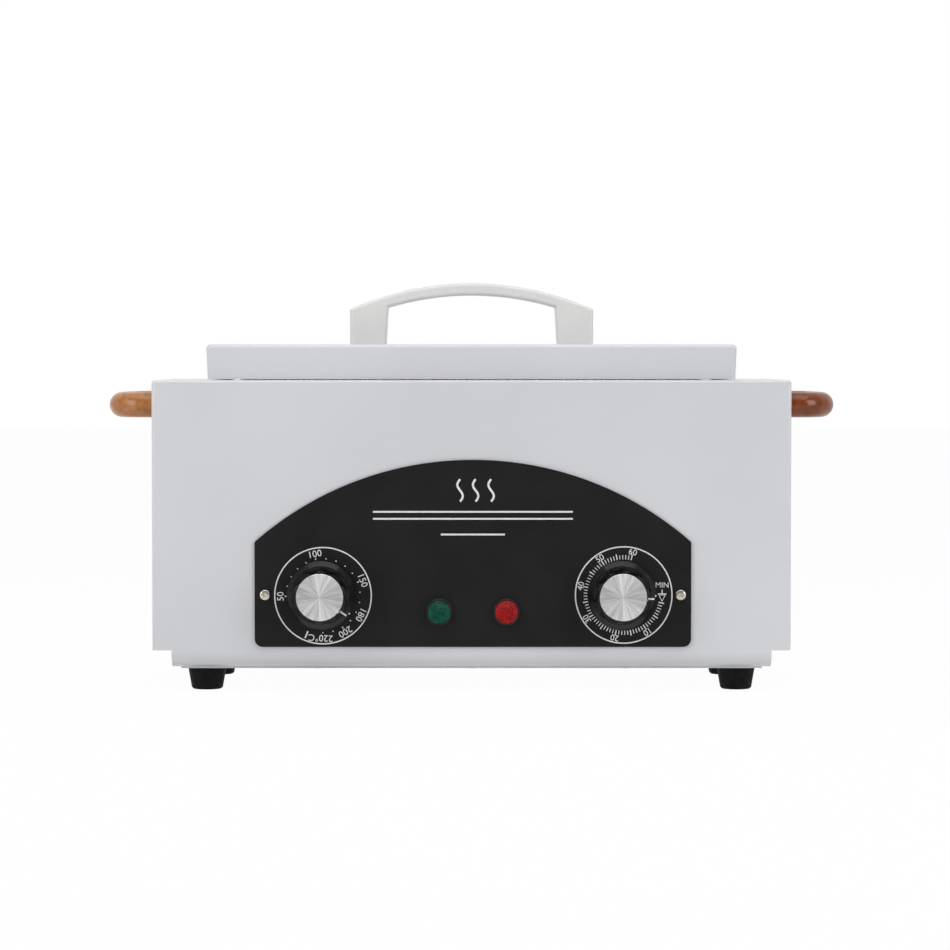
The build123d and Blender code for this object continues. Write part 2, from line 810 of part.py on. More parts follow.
stud_nut = hex_nut(m3 + tap_clearance, m3_nut_flat, m3_nut_height)
with BuildPart() as strap_nuts:
    with Locations(
        (-strap_spacing / 2, mid_y, strap_top - strap_sheet - m3_nut_height),
        (strap_spacing / 2, mid_y, strap_top - strap_sheet - m3_nut_height),
    ):
        add(stud_nut)
save(strap_nuts, "strap_nuts")

# Thermal cut-out: a disc thermostat held to the underside of the tank, between the heater's passes.
with BuildPart() as thermal_cutout:
    with BuildSketch(Plane.XY.offset(tank_bottom)):
        with Locations((cutout_x, mid_y + cutout_y)):
            Circle(cutout_radius)
    extrude(amount=-cutout_height)
    with BuildSketch(Plane.XY.offset(tank_bottom)):
        with Locations((cutout_x, mid_y + cutout_y)):
            SlotOverall(3.2 * cutout_radius, cutout_radius)
    extrude(amount=-tank_wall)
    with BuildSketch(Plane.XY.offset(tank_bottom - cutout_height)):
        with Locations((cutout_x, mid_y + cutout_y)):
            with GridLocations(cutout_radius, 0, 2, 1):
                Rectangle(tab_thickness, tab_width)
    extrude(amount=-(heater_cavity - cutout_height - seat_gap))
save(thermal_cutout, "thermal_cutout")

# Sensing bulb: the bulb lies against the tank and its capillary runs down into the thermostat.
bulb_z = tank_bottom - seat_gap - bulb_radius
bulb_end = -control_spacing / 2 + 2.5 * capillary_bend + bulb_length
thermostat_top = control_z + thermostat_height / 2
capillary_in_y = inner_front_y + ear_sheet + thermostat_depth * 0.6
capillary_path = [
    (bulb_end - bulb_length, mid_y + bulb_y, bulb_z),
    (-control_spacing / 2, mid_y + bulb_y, bulb_z),
    (-control_spacing / 2, mid_y + bulb_y, thermostat_top + 2 * capillary_bend - 2),
    (-control_spacing / 2, capillary_in_y, thermostat_top + 2 * capillary_bend - 2),
    (-control_spacing / 2, capillary_in_y, thermostat_top),
]
with BuildPart() as sensing_bulb:
    with BuildLine():
        tube_route = FilletPolyline(*capillary_path, radius=capillary_bend)
    with BuildSketch(Plane(origin=tube_route @ 0, z_dir=tube_route % 0)):
        Circle(capillary_radius)
    sweep(path=tube_route)
    with BuildSketch(Plane(origin=(bulb_end - bulb_length, mid_y + bulb_y, bulb_z), z_dir=(1, 0, 0))):
        Circle(bulb_radius)
    extrude(amount=bulb_length)
    fillet(sensing_bulb.edges().filter_by(GeomType.CIRCLE).group_by(Axis.X)[-1], radius=bulb_radius / 2)
save(sensing_bulb, "sensing_bulb")

# Terminal block: a ceramic block for the incoming leads, on the base plate.
with BuildPart() as terminal_block:
    with BuildSketch(Plane.XY.offset(shell_bottom)):
        with Locations((block_x, mid_y)):
            Rectangle(block_length, block_width)
    extrude(amount=block_height)
    pole_pitch = block_length / block_poles
    with BuildSketch(Plane.XZ.offset(-mid_y - block_width)):
        with Locations((block_x, shell_bottom + block_height / 2)):
            with GridLocations(pole_pitch, 0, block_poles, 1):
                Circle(2.5)
    extrude(amount=2 * block_width, mode=Mode.SUBTRACT)
    with BuildSketch(Plane.XY.offset(shell_bottom)):
        with Locations((block_x, mid_y)):
            with GridLocations(pole_pitch, block_width / 2, block_poles, 2):
                Circle(2)
    extrude(amount=block_height, mode=Mode.SUBTRACT)
save(terminal_block, "terminal_block")

# Cord gland: a flanged bush through the back wall, with a nut inside.
with BuildPart() as cord_gland:
    with BuildSketch(Plane(origin=(gland_x, back_y, gland_z), x_dir=(-1, 0, 0), z_dir=(0, 1, 0))):
        Circle(gland_flange_radius)
    extrude(amount=gland_reach)
    chamfer(cord_gland.edges().group_by(Axis.Y)[-1], length=0.8)
    with BuildSketch(Plane(origin=(gland_x, back_y, gland_z), x_dir=(-1, 0, 0), z_dir=(0, 1, 0))):
        Circle(gland_body_radius)
    extrude(amount=-gland_length)
    with BuildSketch(Plane(origin=(gland_x, back_y + gland_reach, gland_z), x_dir=(-1, 0, 0), z_dir=(0, 1, 0))):
        Circle(gland_bore_radius)
    extrude(amount=-(gland_length + gland_reach), mode=Mode.SUBTRACT)
save(cord_gland, "cord_gland")

gland_ring = hex_nut(gland_body_radius + tap_clearance, gland_nut_radius, gland_nut_thickness)
with BuildPart() as gland_nut:
    with Locations(Plane(origin=(gland_x, back_y - sheet, gland_z), z_dir=(0, -1, 0))):
        add(gland_ring)
save(gland_nut, "gland_nut")


# Side handle: a round wooden bow whose two ends stand on the side wall.
def side_handle(side):
    """The bow on the right (side = 1) or the left (side = -1)."""
    wall_x = side * body_width / 2
    bar_x = side * grip_bar_x
    with BuildPart() as bow:
        with BuildLine(Plane.XY.offset(grip_z)):
            path = FilletPolyline(
                (wall_x, mid_y - grip_leg_y),
                (bar_x, mid_y - grip_leg_y),
                (bar_x, mid_y + grip_leg_y),
                (wall_x, mid_y + grip_leg_y),
                radius=grip_bend,
            )
        with BuildSketch(Plane(origin=path @ 0, z_dir=path % 0)):
            Circle(grip_radius)
        sweep(path=path)
        with BuildSketch(Plane(origin=(wall_x, mid_y, grip_z), x_dir=(0, 1, 0), z_dir=(side, 0, 0))):
            with GridLocations(2 * grip_leg_y, 0, 2, 1):
                Circle(m4 + tap_clearance)
        extrude(amount=side_screw_depth, mode=Mode.SUBTRACT)
    return bow


save(side_handle(-1), "left_handle")
save(side_handle(1), "right_handle")

side_screw = pan_screw(m4, sheet + side_screw_depth - seat_gap, m4_head_radius, m4_head_height)
with BuildPart() as side_handle_screws:
    for side in (-1, 1):
        with Locations(
            *[
                Plane(origin=(side * (body_width / 2 - sheet), mid_y + y, grip_z), z_dir=(-side, 0, 0))
                for y in (-grip_leg_y, grip_leg_y)
            ]
        ):
            add(side_screw)
save(side_handle_screws, "side_handle_screws")

def lid_form(inset):
    """The lid's outline drawn in by inset, its sides drawn in a little further downwards."""
    with BuildPart() as form:
        with BuildSketch(Plane.XY.offset(lid_top - inset)):
            with Locations((0, mid_y)):
                RectangleRounded(lid_length - 2 * inset, lid_width - 2 * inset, lid_corner - inset)
        extrude(amount=-(lid_skirt - inset), taper=lid_draft)
        fillet(form.faces().sort_by(Axis.Z)[-1].edges(), radius=lid_bend - inset)
    return form


# Lid shell: a folded tray turned down over the tank's rim.
outer_lid = lid_form(0)
inner_lid = lid_form(lid_sheet)
with BuildPart() as lid_shell:
    add(outer_lid)
    add(inner_lid, mode=Mode.SUBTRACT)
    with BuildSketch(Plane.XY.offset(lid_top)):
        with Locations((-arch_leg_x, mid_y), (arch_leg_x, mid_y)):
            Circle(m4 + screw_clearance)
    extrude(amount=-2 * lid_sheet, mode=Mode.SUBTRACT)
save(lid_shell, "lid_shell")

# Lid liner: a pressed steel pan that rests on the tank's rim and dips into its mouth.
skirt_draw = lid_skirt * math.tan(math.radians(lid_draft))
liner_length = lid_length - 2 * skirt_draw - 2 * lid_sheet - 2 * seat_gap
liner_width = lid_width - 2 * skirt_draw - 2 * lid_sheet - 2 * seat_gap
plug_length = tank_length - 2 * tank_wall - 2 * plug_clearance
plug_width = tank_width - 2 * tank_wall - 2 * plug_clearance
with BuildPart() as lid_liner:
    with BuildSketch(Plane.XY.offset(rim_top)):
        with Locations((0, mid_y)):
            RectangleRounded(liner_length, liner_width, lid_corner)
    extrude(amount=liner_rim_height)
    with BuildSketch(Plane.XY.offset(rim_top)):
        with Locations((0, mid_y)):
            RectangleRounded(plug_length, plug_width, tank_corner - plug_clearance)
    extrude(amount=-plug_depth)
    offset(amount=-liner_sheet, openings=lid_liner.faces().sort_by(Axis.Z)[-1])
save(lid_liner, "lid_liner")

# Lid insulation: a fibre pad that fills the lid, with hollows over the screw heads.
with BuildPart() as lid_insulation:
    pad_bottom = rim_top + liner_sheet
    pad_top = lid_top - lid_sheet - seat_gap
    pad_inset = liner_sheet + seat_gap
    with BuildSketch(Plane.XY.offset(pad_bottom)):
        with Locations((0, mid_y)):
            RectangleRounded(liner_length - 2 * pad_inset, liner_width - 2 * pad_inset, lid_corner - pad_inset)
    extrude(amount=pad_top - pad_bottom)
    with BuildSketch(Plane.XY.offset(pad_bottom)):
        with Locations((0, mid_y)):
            RectangleRounded(
                plug_length - 2 * pad_inset,
                plug_width - 2 * pad_inset,
                tank_corner - plug_clearance - pad_inset,
            )
    extrude(amount=-(plug_depth - seat_gap))
    with BuildSketch(Plane.XY.offset(pad_top)):
        with Locations((-arch_leg_x, mid_y), (arch_leg_x, mid_y)):
            Circle(1.5 * m4_head_radius)
    extrude(amount=-(m4_head_height + 2 * seat_gap), mode=Mode.SUBTRACT)
save(lid_insulation, "lid_insulation")

# Lid handle: a moulded arch on two legs, cored from below around its screw bosses.
with BuildPart() as lid_handle:
    with BuildSketch(Plane(origin=(0, mid_y, lid_top), x_dir=(1, 0, 0), z_dir=(0, -1, 0))) as arch:
        half = arch_length / 2
        leg_foot = half - arch_leg_width
        leg_head = leg_foot - arch_leg_narrowing
        with BuildLine():
            outer_left = Line((-half, 0), (-half, arch_shoulder))
            outer_arc = ThreePointArc(outer_left @ 1, (0, arch_height), (half, arch_shoulder))
            outer_right = Polyline(outer_arc @ 1, (half, 0), (leg_foot, 0), (leg_head, arch_opening_shoulder))
            inner_arc = ThreePointArc(
                outer_right @ 1,
                (0, arch_height - arch_thickness),
                (-leg_head, arch_opening_shoulder),
            )
            Polyline(inner_arc @ 1, (-leg_foot, 0), (-half, 0))
        make_face()
        fillet(arch.vertices().filter_by_position(Axis.Y, arch_shoulder, arch_shoulder), radius=2.4)
        fillet(
            arch.vertices().filter_by_position(Axis.Y, arch_opening_shoulder, arch_opening_shoulder),
            radius=1.6,
        )
    extrude(amount=arch_width / 2, both=True)
    sides = lid_handle.faces().filter_by(Axis.Y)
    rounded = sides.edges().filter_by(lambda edge: edge.center().Z > lid_top + 0.1)
    fillet(rounded, radius=arch_round)
    with BuildSketch(Plane.XY.offset(lid_top)):
        with Locations((-arch_leg_x, mid_y), (arch_leg_x, mid_y)):
            RectangleRounded(arch_leg_width - 2 * arch_core_wall, arch_width - 2 * arch_core_wall, 1.5)
            Circle(arch_boss_radius, mode=Mode.SUBTRACT)
    extrude(amount=arch_core_depth, mode=Mode.SUBTRACT)
    with BuildSketch(Plane.XY.offset(lid_top)):
        with Locations((-arch_leg_x, mid_y), (arch_leg_x, mid_y)):
            Circle(m4 + tap_clearance)
    extrude(amount=arch_core_depth, mode=Mode.SUBTRACT)
save(lid_handle, "lid_handle")

lid_screw = pan_screw(m4, lid_sheet + arch_core_depth - seat_gap, m4_head_radius, m4_head_height)
with BuildPart() as lid_handle_screws:
    with Locations(
        *[Plane(origin=(x, mid_y, lid_top - lid_sheet), z_dir=(0, 0, -1)) for x in (-arch_leg_x, arch_leg_x)]
    ):
        add(lid_screw)
save(lid_handle_screws, "lid_handle_screws")

# Tray: a perforated pan that rests on the tank's floor, with a turned-out rim.
tray_top = tank_floor + tray_height
with BuildPart() as tray:
    with BuildSketch(Plane.XY.offset(tray_top)):
        with Locations((0, mid_y)):
            RectangleRounded(tray_length, tray_width, tray_corner)
    extrude(amount=-tray_height)
    fillet(tray.faces().sort_by(Axis.Z)[0].edges(), radius=tray_floor_radius)
    offset(amount=-tray_wall, openings=tray.faces().sort_by(Axis.Z)[-1])
    with BuildSketch(Plane.XY.offset(tray_top)):
        with Locations((0, mid_y)):
            RectangleRounded(tray_length + 2 * tray_rim, tray_width + 2 * tray_rim, tray_corner + tray_rim)
            RectangleRounded(
                tray_length - 2 * tray_wall,
                tray_width - 2 * tray_wall,
                tray_corner - tray_wall,
                mode=Mode.SUBTRACT,
            )
    extrude(amount=-tray_wall)
    with BuildSketch(Plane.XY.offset(tank_floor)):
        with Locations((0, mid_y)):
            with GridLocations(tray_slot_pitch_x, tray_slot_pitch_y, tray_slot_columns, tray_slot_rows):
                SlotOverall(tray_slot_length, tray_slot_width)
    extrude(amount=tray_wall, mode=Mode.SUBTRACT)
save(tray, "tray")

# Tray handles: a wire loop welded inside each end of the tray.
with BuildPart() as tray_handles:
    for side in (-1, 1):
        loop_x = side * (tray_length / 2 - tray_wall - wire_radius - tap_clearance)
        with BuildLine():
            loop = FilletPolyline(
                (loop_x, mid_y - loop_width / 2, tray_top - loop_weld),
                (loop_x, mid_y - loop_width / 2, tray_top + loop_height),
                (loop_x, mid_y + loop_width / 2, tray_top + loop_height),
                (loop_x, mid_y + loop_width / 2, tray_top - loop_weld),
                radius=loop_bend,
            )
        with BuildSketch(Plane(origin=loop @ 0, z_dir=loop % 0)):
            Circle(wire_radius)
        sweep(path=loop)
save(tray_handles, "tray_handles")
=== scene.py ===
import math

import bmesh
import bpy
from mathutils import Matrix, Vector


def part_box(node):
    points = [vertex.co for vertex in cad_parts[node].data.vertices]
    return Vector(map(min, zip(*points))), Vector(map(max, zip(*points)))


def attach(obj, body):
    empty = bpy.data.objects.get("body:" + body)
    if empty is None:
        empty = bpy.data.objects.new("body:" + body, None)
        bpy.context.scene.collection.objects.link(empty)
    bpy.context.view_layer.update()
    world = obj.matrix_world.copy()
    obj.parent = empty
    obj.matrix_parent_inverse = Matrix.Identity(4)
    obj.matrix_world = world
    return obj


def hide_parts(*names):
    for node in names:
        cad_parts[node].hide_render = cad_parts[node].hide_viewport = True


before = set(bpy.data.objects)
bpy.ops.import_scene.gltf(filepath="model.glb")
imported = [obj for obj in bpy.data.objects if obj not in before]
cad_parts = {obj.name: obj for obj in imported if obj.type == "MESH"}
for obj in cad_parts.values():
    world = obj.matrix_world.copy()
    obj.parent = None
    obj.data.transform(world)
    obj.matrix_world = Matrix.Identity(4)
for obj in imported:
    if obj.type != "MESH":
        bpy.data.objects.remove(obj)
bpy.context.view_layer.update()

# The studio: a wide floor of pale paper with a white surround. A soft box hangs overhead and one
# stands at each side, and the camera looks at the front, almost level with the lid.
camera_spot = (0.0018, -1.75075, 0.173)
camera_pitch = math.radians(87.95)
camera_lens = 125.05
camera_sensor = 36.0
floor_reach = 6.0
floor_cells = 8
floor_shadow = (0.84, 0.84, 0.84)
floor_light = (0.87, 0.87, 0.87)
floor_glow = 0.97
room_light = 0.55
room_dark_side = 0.12
room_turn = 0.6
tone_low = 0.35
tone_high = 0.65
noise_low = 0.3
noise_high = 0.7
lamp_aim = Vector((0, 0, 0.1))

view = bpy.data.cameras.new("camera")
view.lens = camera_lens
view.sensor_width = camera_sensor
camera = bpy.data.objects.new("camera", view)
camera.location = camera_spot
camera.rotation_euler = (camera_pitch, 0, 0)
bpy.context.collection.objects.link(camera)
bpy.context.scene.camera = camera
bpy.context.scene.view_settings.view_transform = "Standard"


def wire(tree, *runs):
    """Links nodes. Each run is a node and its output, then the node it feeds and that one's input."""
    for source, output, target, socket in runs:
        tree.links.new(source.outputs[output], target.inputs[socket])


def calculated(tree, operation, first, second):
    """A Math node's result on two values, each a socket or a number."""
    node = tree.nodes.new("ShaderNodeMath")
    node.operation = operation
    for socket, value in zip(node.inputs, (first, second)):
        if isinstance(value, (int, float)):
            socket.default_value = value
        else:
            tree.links.new(value, socket)
    return node.outputs["Value"]


def remapped(tree, value, old_ends, new_ends, kind="LINEAR"):
    """The value, stretched from the range between its old ends to the range between the new ones."""
    node = tree.nodes.new("ShaderNodeMapRange")
    node.interpolation_type = kind
    for socket, end in zip(("From Min", "From Max", "To Min", "To Max"), old_ends + new_ends):
        node.inputs[socket].default_value = end
    tree.links.new(value, node.inputs["Value"])
    return node.outputs["Result"]


def seen_directly(tree):
    """1 for a ray from the camera, off a mirror or through glass, 0 for one that only lights."""
    ray = tree.nodes.new("ShaderNodeLightPath").outputs
    seen = calculated(tree, "MAXIMUM", ray["Is Camera Ray"], ray["Is Glossy Ray"])
    return calculated(tree, "MAXIMUM", seen, ray["Is Transmission Ray"])


def new_finish(name, **plain):
    """A material with one shader. Values that are the same all over go straight on its sockets."""
    material = bpy.data.materials.new(name)
    material.use_nodes = True
    tree = material.node_tree
    shader = tree.nodes["Principled BSDF"]
    for socket, value in plain.items():
        shader.inputs[socket.replace("_", " ")].default_value = value
    return material, tree, shader


def cloud(tree, scale, stretch=(1, 1, 1), detail=2.0):
    """Soft noise in the piece's own space, drawn out along an axis where its stretch is small."""
    place = tree.nodes.new("ShaderNodeTexCoord")
    drawn_out = tree.nodes.new("ShaderNodeMapping")
    drawn_out.vector_type = "TEXTURE"
    drawn_out.inputs["Scale"].default_value = [1 / part for part in stretch]
    noise = tree.nodes.new("ShaderNodeTexNoise")
    noise.inputs["Scale"].default_value = scale
    noise.inputs["Detail"].default_value = detail
    wire(tree, (place, "Object", drawn_out, "Vector"), (drawn_out, "Vector", noise, "Vector"))
    return noise.outputs["Fac"]


def tint(tree, shader, pattern, dark, light):
    """Lets the colour wander between two tones with the pattern."""
    ramp = tree.nodes.new("ShaderNodeValToRGB")
    for stop, place, tone in zip(ramp.color_ramp.elements, (tone_low, tone_high), (dark, light)):
        stop.position = place
        stop.color = (*tone, 1)
    tree.links.new(pattern, ramp.inputs["Fac"])
    tree.links.new(ramp.outputs["Color"], shader.inputs["Base Color"])


def dull(tree, shader, pattern, smoothest, roughest):
    """Lets the roughness wander between two values with the pattern."""
    spread = remapped(tree, pattern, (noise_low, noise_high), (smoothest, roughest))
    tree.links.new(spread, shader.inputs["Roughness"])


def raise_surface(tree, shader, pattern, height, strength):
    """Raises the surface by up to this height with the pattern."""
    bump = tree.nodes.new("ShaderNodeBump")
    bump.inputs["Distance"].default_value = height
    bump.inputs["Strength"].default_value = strength
    tree.links.new(pattern, bump.inputs["Height"])
    tree.links.new(bump.outputs["Normal"], shader.inputs["Normal"])


paper, tree, shader = new_finish("pale_paper", Roughness=0.9)
tint(tree, shader, cloud(tree, scale=3.0), floor_shadow, floor_light)
glow = tree.nodes.new("ShaderNodeEmission")
blend = tree.nodes.new("ShaderNodeMixShader")
share = calculated(tree, "MULTIPLY", seen_directly(tree), floor_glow)
tree.links.new(share, blend.inputs["Fac"])
wire(
    tree,
    (shader, "BSDF", blend, 1),
    (glow, "Emission", blend, 2),
    (blend, "Shader", tree.nodes["Material Output"], "Surface"),
)

sheet = bmesh.new()
bmesh.ops.create_grid(sheet, x_segments=floor_cells, y_segments=floor_cells, size=floor_reach)
floor_mesh = bpy.data.meshes.new("paper_floor")
sheet.to_mesh(floor_mesh)
sheet.free()
floor = bpy.data.objects.new("paper_floor", floor_mesh)
floor.data.materials.append(paper)
bpy.context.collection.objects.link(floor)

room = bpy.data.worlds.new("white_room")
room.use_nodes = True
bpy.context.scene.world = room
tree = room.node_tree
wall = tree.nodes["Background"]
wall.inputs["Color"].default_value = (1, 1, 1, 1)
heading = tree.nodes.new("ShaderNodeTexCoord")
parts = tree.nodes.new("ShaderNodeSeparateXYZ")
wire(tree, (heading, "Generated", parts, "Vector"))
front_turn = (-room_turn, room_turn)
front_side = remapped(tree, parts.outputs["Y"], front_turn, (room_dark_side, 1), "SMOOTHSTEP")
light_or_seen = remapped(tree, seen_directly(tree), (0, 1), (room_light, 1))
strength = calculated(tree, "MULTIPLY", front_side, light_or_seen)
camera_ray = tree.nodes.new("ShaderNodeLightPath").outputs["Is Camera Ray"]
plain_white = calculated(tree, "MAXIMUM", strength, camera_ray)
tree.links.new(plain_white, wall.inputs["Strength"])

soft_boxes = {
    "top_box": {"spot": (0.0, -0.35, 1.25), "size": (1.5, 0.9), "power": 9.0},
    "left_box": {"spot": (-1.35, -1.05, 0.65), "size": (0.7, 1.1), "power": 12.5},
    "right_box": {"spot": (1.35, -1.05, 0.65), "size": (0.7, 1.1), "power": 12.5},
}
for name, box in soft_boxes.items():
    lamp = bpy.data.lights.new(name, "AREA")
    lamp.shape = "RECTANGLE"
    lamp.size, lamp.size_y = box["size"]
    lamp.energy = box["power"]
    holder = bpy.data.objects.new(name, lamp)
    holder.location = box["spot"]
    aim = lamp_aim - holder.location
    holder.rotation_euler = aim.to_track_quat("-Z", "Y").to_euler()
    bpy.context.collection.objects.link(holder)

# The body is a box of thin sheet steel, folded and welded, with a deck around the tank's mouth and
# a narrower rolled foot. It is stove-enamelled white, which leaves a faint orange peel.
paint_shadow = (0.596, 0.601, 0.628)
paint_light = (0.630, 0.635, 0.664)


def as_piece(form, name, crease=40):
    """Turns a finished bmesh into an object, smooth round its bends and sharp at its edges."""
    mesh = bpy.data.meshes.new(name)
    form.to_mesh(mesh)
    form.free()
    if "custom_normal" in mesh.attributes:
        mesh.attributes.remove(mesh.attributes["custom_normal"])
    mesh.shade_smooth()
    mesh.set_sharp_from_angle(angle=math.radians(crease))
    piece = bpy.data.objects.new(name, mesh)
    bpy.context.collection.objects.link(piece)
    even = piece.modifiers.new("even_faces", "WEIGHTED_NORMAL")
    even.keep_sharp = True
    return piece


def joined_form(node):
    """The CAD node's own shape with its loose facets joined."""
    form = bmesh.new()
    form.from_mesh(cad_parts[node].data)
    bmesh.ops.remove_doubles(form, verts=form.verts, dist=1e-6)
    bmesh.ops.dissolve_degenerate(form, edges=form.edges, dist=1e-7)
    return form


def fit(piece, finish, body, slot, *stands_for):
    """Gives a finished piece its material and its body, and hides the CAD nodes it stands for."""
    piece.data.materials.clear()
    piece.data.materials.append(finish)
    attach(piece, body)
    if stands_for:
        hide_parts(*stands_for)


def skin(node, name, finish, body, slot):
    """A smooth piece in the shape of a CAD node, in its place."""
    piece = as_piece(joined_form(node), name)
    fit(piece, finish, body, slot, node)
    return piece


white_paint, tree, shader = new_finish("white_paint", Coat_Weight=0.25, Coat_Roughness=0.12)
tint(tree, shader, cloud(tree, scale=9.0), paint_shadow, paint_light)
dull(tree, shader, cloud(tree, scale=12.0, detail=1.0), smoothest=0.30, roughest=0.34)
raise_surface(tree, shader, cloud(tree, scale=700.0, detail=0.0), height=0.000004, strength=0.4)
skin("body_shell", "white_body", white_paint, "housing", "white_paint")

# The base plate is a slotted steel cover under the body, painted with it. Four rubber feet are
# screwed through it with nuts inside, and short screws hold it along its edges.
rubber_dark = (0.004, 0.004, 0.004)
rubber_light = (0.009, 0.009, 0.009)
zinc_dark = (0.46, 0.46, 0.45)
zinc_light = (0.62, 0.61, 0.58)
m3 = {"shank": 0.0015, "head": 0.0028, "height": 0.0018, "pitch": 0.0005}
flush_m3 = {**m3, "shown_height": 0.0003}
m4 = {"shank": 0.0020, "head": 0.0039, "height": 0.0026, "pitch": 0.0007}
screw_sides = 24
thread_depth = 0.55
tip_taper = 0.7
tip_plain = 0.4
neck_plain = 0.2
head_flank = 0.35
head_crown = 0.55
crown_steps = 5
flat_top = 0.4
recess_length = 1.15
recess_width = 0.26
recess_depth = 1.2
recess_taper = 0.35

skin("base_plate", "base_cover", white_paint, "housing", "white_paint")

rubber, tree, shader = new_finish("foot_rubber", Specular_IOR_Level=0.10)
tint(tree, shader, cloud(tree, scale=300.0, detail=4.0), rubber_dark, rubber_light)
dull(tree, shader, cloud(tree, scale=500.0), smoothest=0.58, roughest=0.78)
raise_surface(tree, shader, cloud(tree, scale=1500.0, detail=4.0), height=0.00008, strength=0.6)
skin("feet", "rubber_feet", rubber, "housing", "foot_rubber")

zinc, tree, shader = new_finish("zinc_plate", Metallic=1.0)
tint(tree, shader, cloud(tree, scale=500.0, detail=5.0), zinc_dark, zinc_light)
dull(tree, shader, cloud(tree, scale=900.0), smoothest=0.28, roughest=0.42)
raise_surface(tree, shader, cloud(tree, scale=2500.0), height=0.00001, strength=0.6)


def turned(form, outline, segments, radius_at=None):
    """Spins an outline of (radius, height) points round Z, and closes its ends on the axis."""
    rows = []
    for radius, height in outline:
        if not radius:
            rows.append([form.verts.new((0, 0, height))] * segments)
            continue
        row = []
        for step in range(segments):
            angle = math.tau * step / segments
            reach = radius_at(radius, height, angle) if radius_at else radius
            row.append(form.verts.new((reach * math.cos(angle), reach * math.sin(angle), height)))
        rows.append(row)
    for low, high in zip(rows, rows[1:]):
        for step in range(segments):
            after = (step + 1) % segments
            corners = [low[step], low[after], high[after], high[step]]
            form.faces.new(list(dict.fromkeys(corners)))
    bmesh.ops.recalc_face_normals(form, faces=form.faces)


def new_input(tree, name, kind, value=None):
    """A named input on a Geometry Nodes tree."""
    socket = tree.interface.new_socket(name=name, in_out="INPUT", socket_type="NodeSocket" + kind)
    if value is not None:
        socket.default_value = value


def grow(tree, start, name, **sizes):
    """Runs a tree on a starting mesh and returns what it makes as a plain object."""
    seed_piece = bpy.data.objects.new(name + "_start", start)
    bpy.context.collection.objects.link(seed_piece)
    growth = seed_piece.modifiers.new("growth", "NODES")
    growth.node_group = tree
    for item in tree.interface.items_tree:
        if item.item_type == "SOCKET" and item.in_out == "INPUT" and item.name in sizes:
            growth[item.identifier] = sizes[item.name]
    made = seed_piece.evaluated_get(bpy.context.evaluated_depsgraph_get())
    mesh = bpy.data.meshes.new_from_object(made)
    mesh.name = name
    bpy.data.objects.remove(seed_piece)
    piece = bpy.data.objects.new(name, mesh)
    bpy.context.collection.objects.link(piece)
    return piece


screw_tree = bpy.data.node_groups.new("screws_on_spots", "GeometryNodeTree")
new_input(screw_tree, "Spots", "Geometry")
new_input(screw_tree, "Screw", "Object")
new_input(screw_tree, "Facing", "Vector", (0, 0, 1))
new_input(screw_tree, "Seed", "Int", 3)
new_input(screw_tree, "Finish", "Material")
screw_tree.interface.new_socket(name="Screws", in_out="OUTPUT", socket_type="NodeSocketGeometry")
given = screw_tree.nodes.new("NodeGroupInput")
result = screw_tree.nodes.new("NodeGroupOutput")
one_screw = screw_tree.nodes.new("GeometryNodeObjectInfo")
face_out = screw_tree.nodes.new("FunctionNodeAlignRotationToVector")
face_out.axis = "Z"
any_turn = screw_tree.nodes.new("FunctionNodeRandomValue")
any_turn.data_type = "FLOAT"
any_turn.inputs[3].default_value = math.tau
roll = screw_tree.nodes.new("FunctionNodeAxisAngleToRotation")
roll.inputs["Axis"].default_value = (0, 0, 1)
driven_home = screw_tree.nodes.new("FunctionNodeRotateRotation")
driven_home.rotation_space = "LOCAL"
put = screw_tree.nodes.new("GeometryNodeInstanceOnPoints")
real = screw_tree.nodes.new("GeometryNodeRealizeInstances")
coat = screw_tree.nodes.new("GeometryNodeSetMaterial")
wire(
    screw_tree,
    (given, "Spots", put, "Points"),
    (given, "Screw", one_screw, "Object"),
    (one_screw, "Geometry", put, "Instance"),
    (given, "Facing", face_out, "Vector"),
    (given, "Seed", any_turn, "Seed"),
    (any_turn, 1, roll, "Angle"),
    (face_out, "Rotation", driven_home, "Rotation"),
    (roll, "Rotation", driven_home, "Rotate By"),
    (driven_home, "Rotation", put, "Rotation"),
    (put, "Instances", real, "Geometry"),
    (real, "Geometry", coat, "Geometry"),
    (given, "Finish", coat, "Material"),
    (coat, "Geometry", result, "Screws"),
)


def separate_boxes(node):
    """The lowest and highest corner of each separate solid in a CAD node, from left to right."""
    form = joined_form(node)
    waiting = set(form.verts)
    boxes = []
    while waiting:
        to_follow = [waiting.pop()]
        found = list(to_follow)
        while to_follow:
            vert = to_follow.pop()
            for edge in vert.link_edges:
                other = edge.other_vert(vert)
                if other in waiting:
                    waiting.remove(other)
                    to_follow.append(other)
                    found.append(other)
        low = Vector([min(vert.co[i] for vert in found) for i in range(3)])
        high = Vector([max(vert.co[i] for vert in found) for i in range(3)])
        boxes.append((low, high))
    form.free()
    return sorted(boxes, key=lambda box: box[0][:])


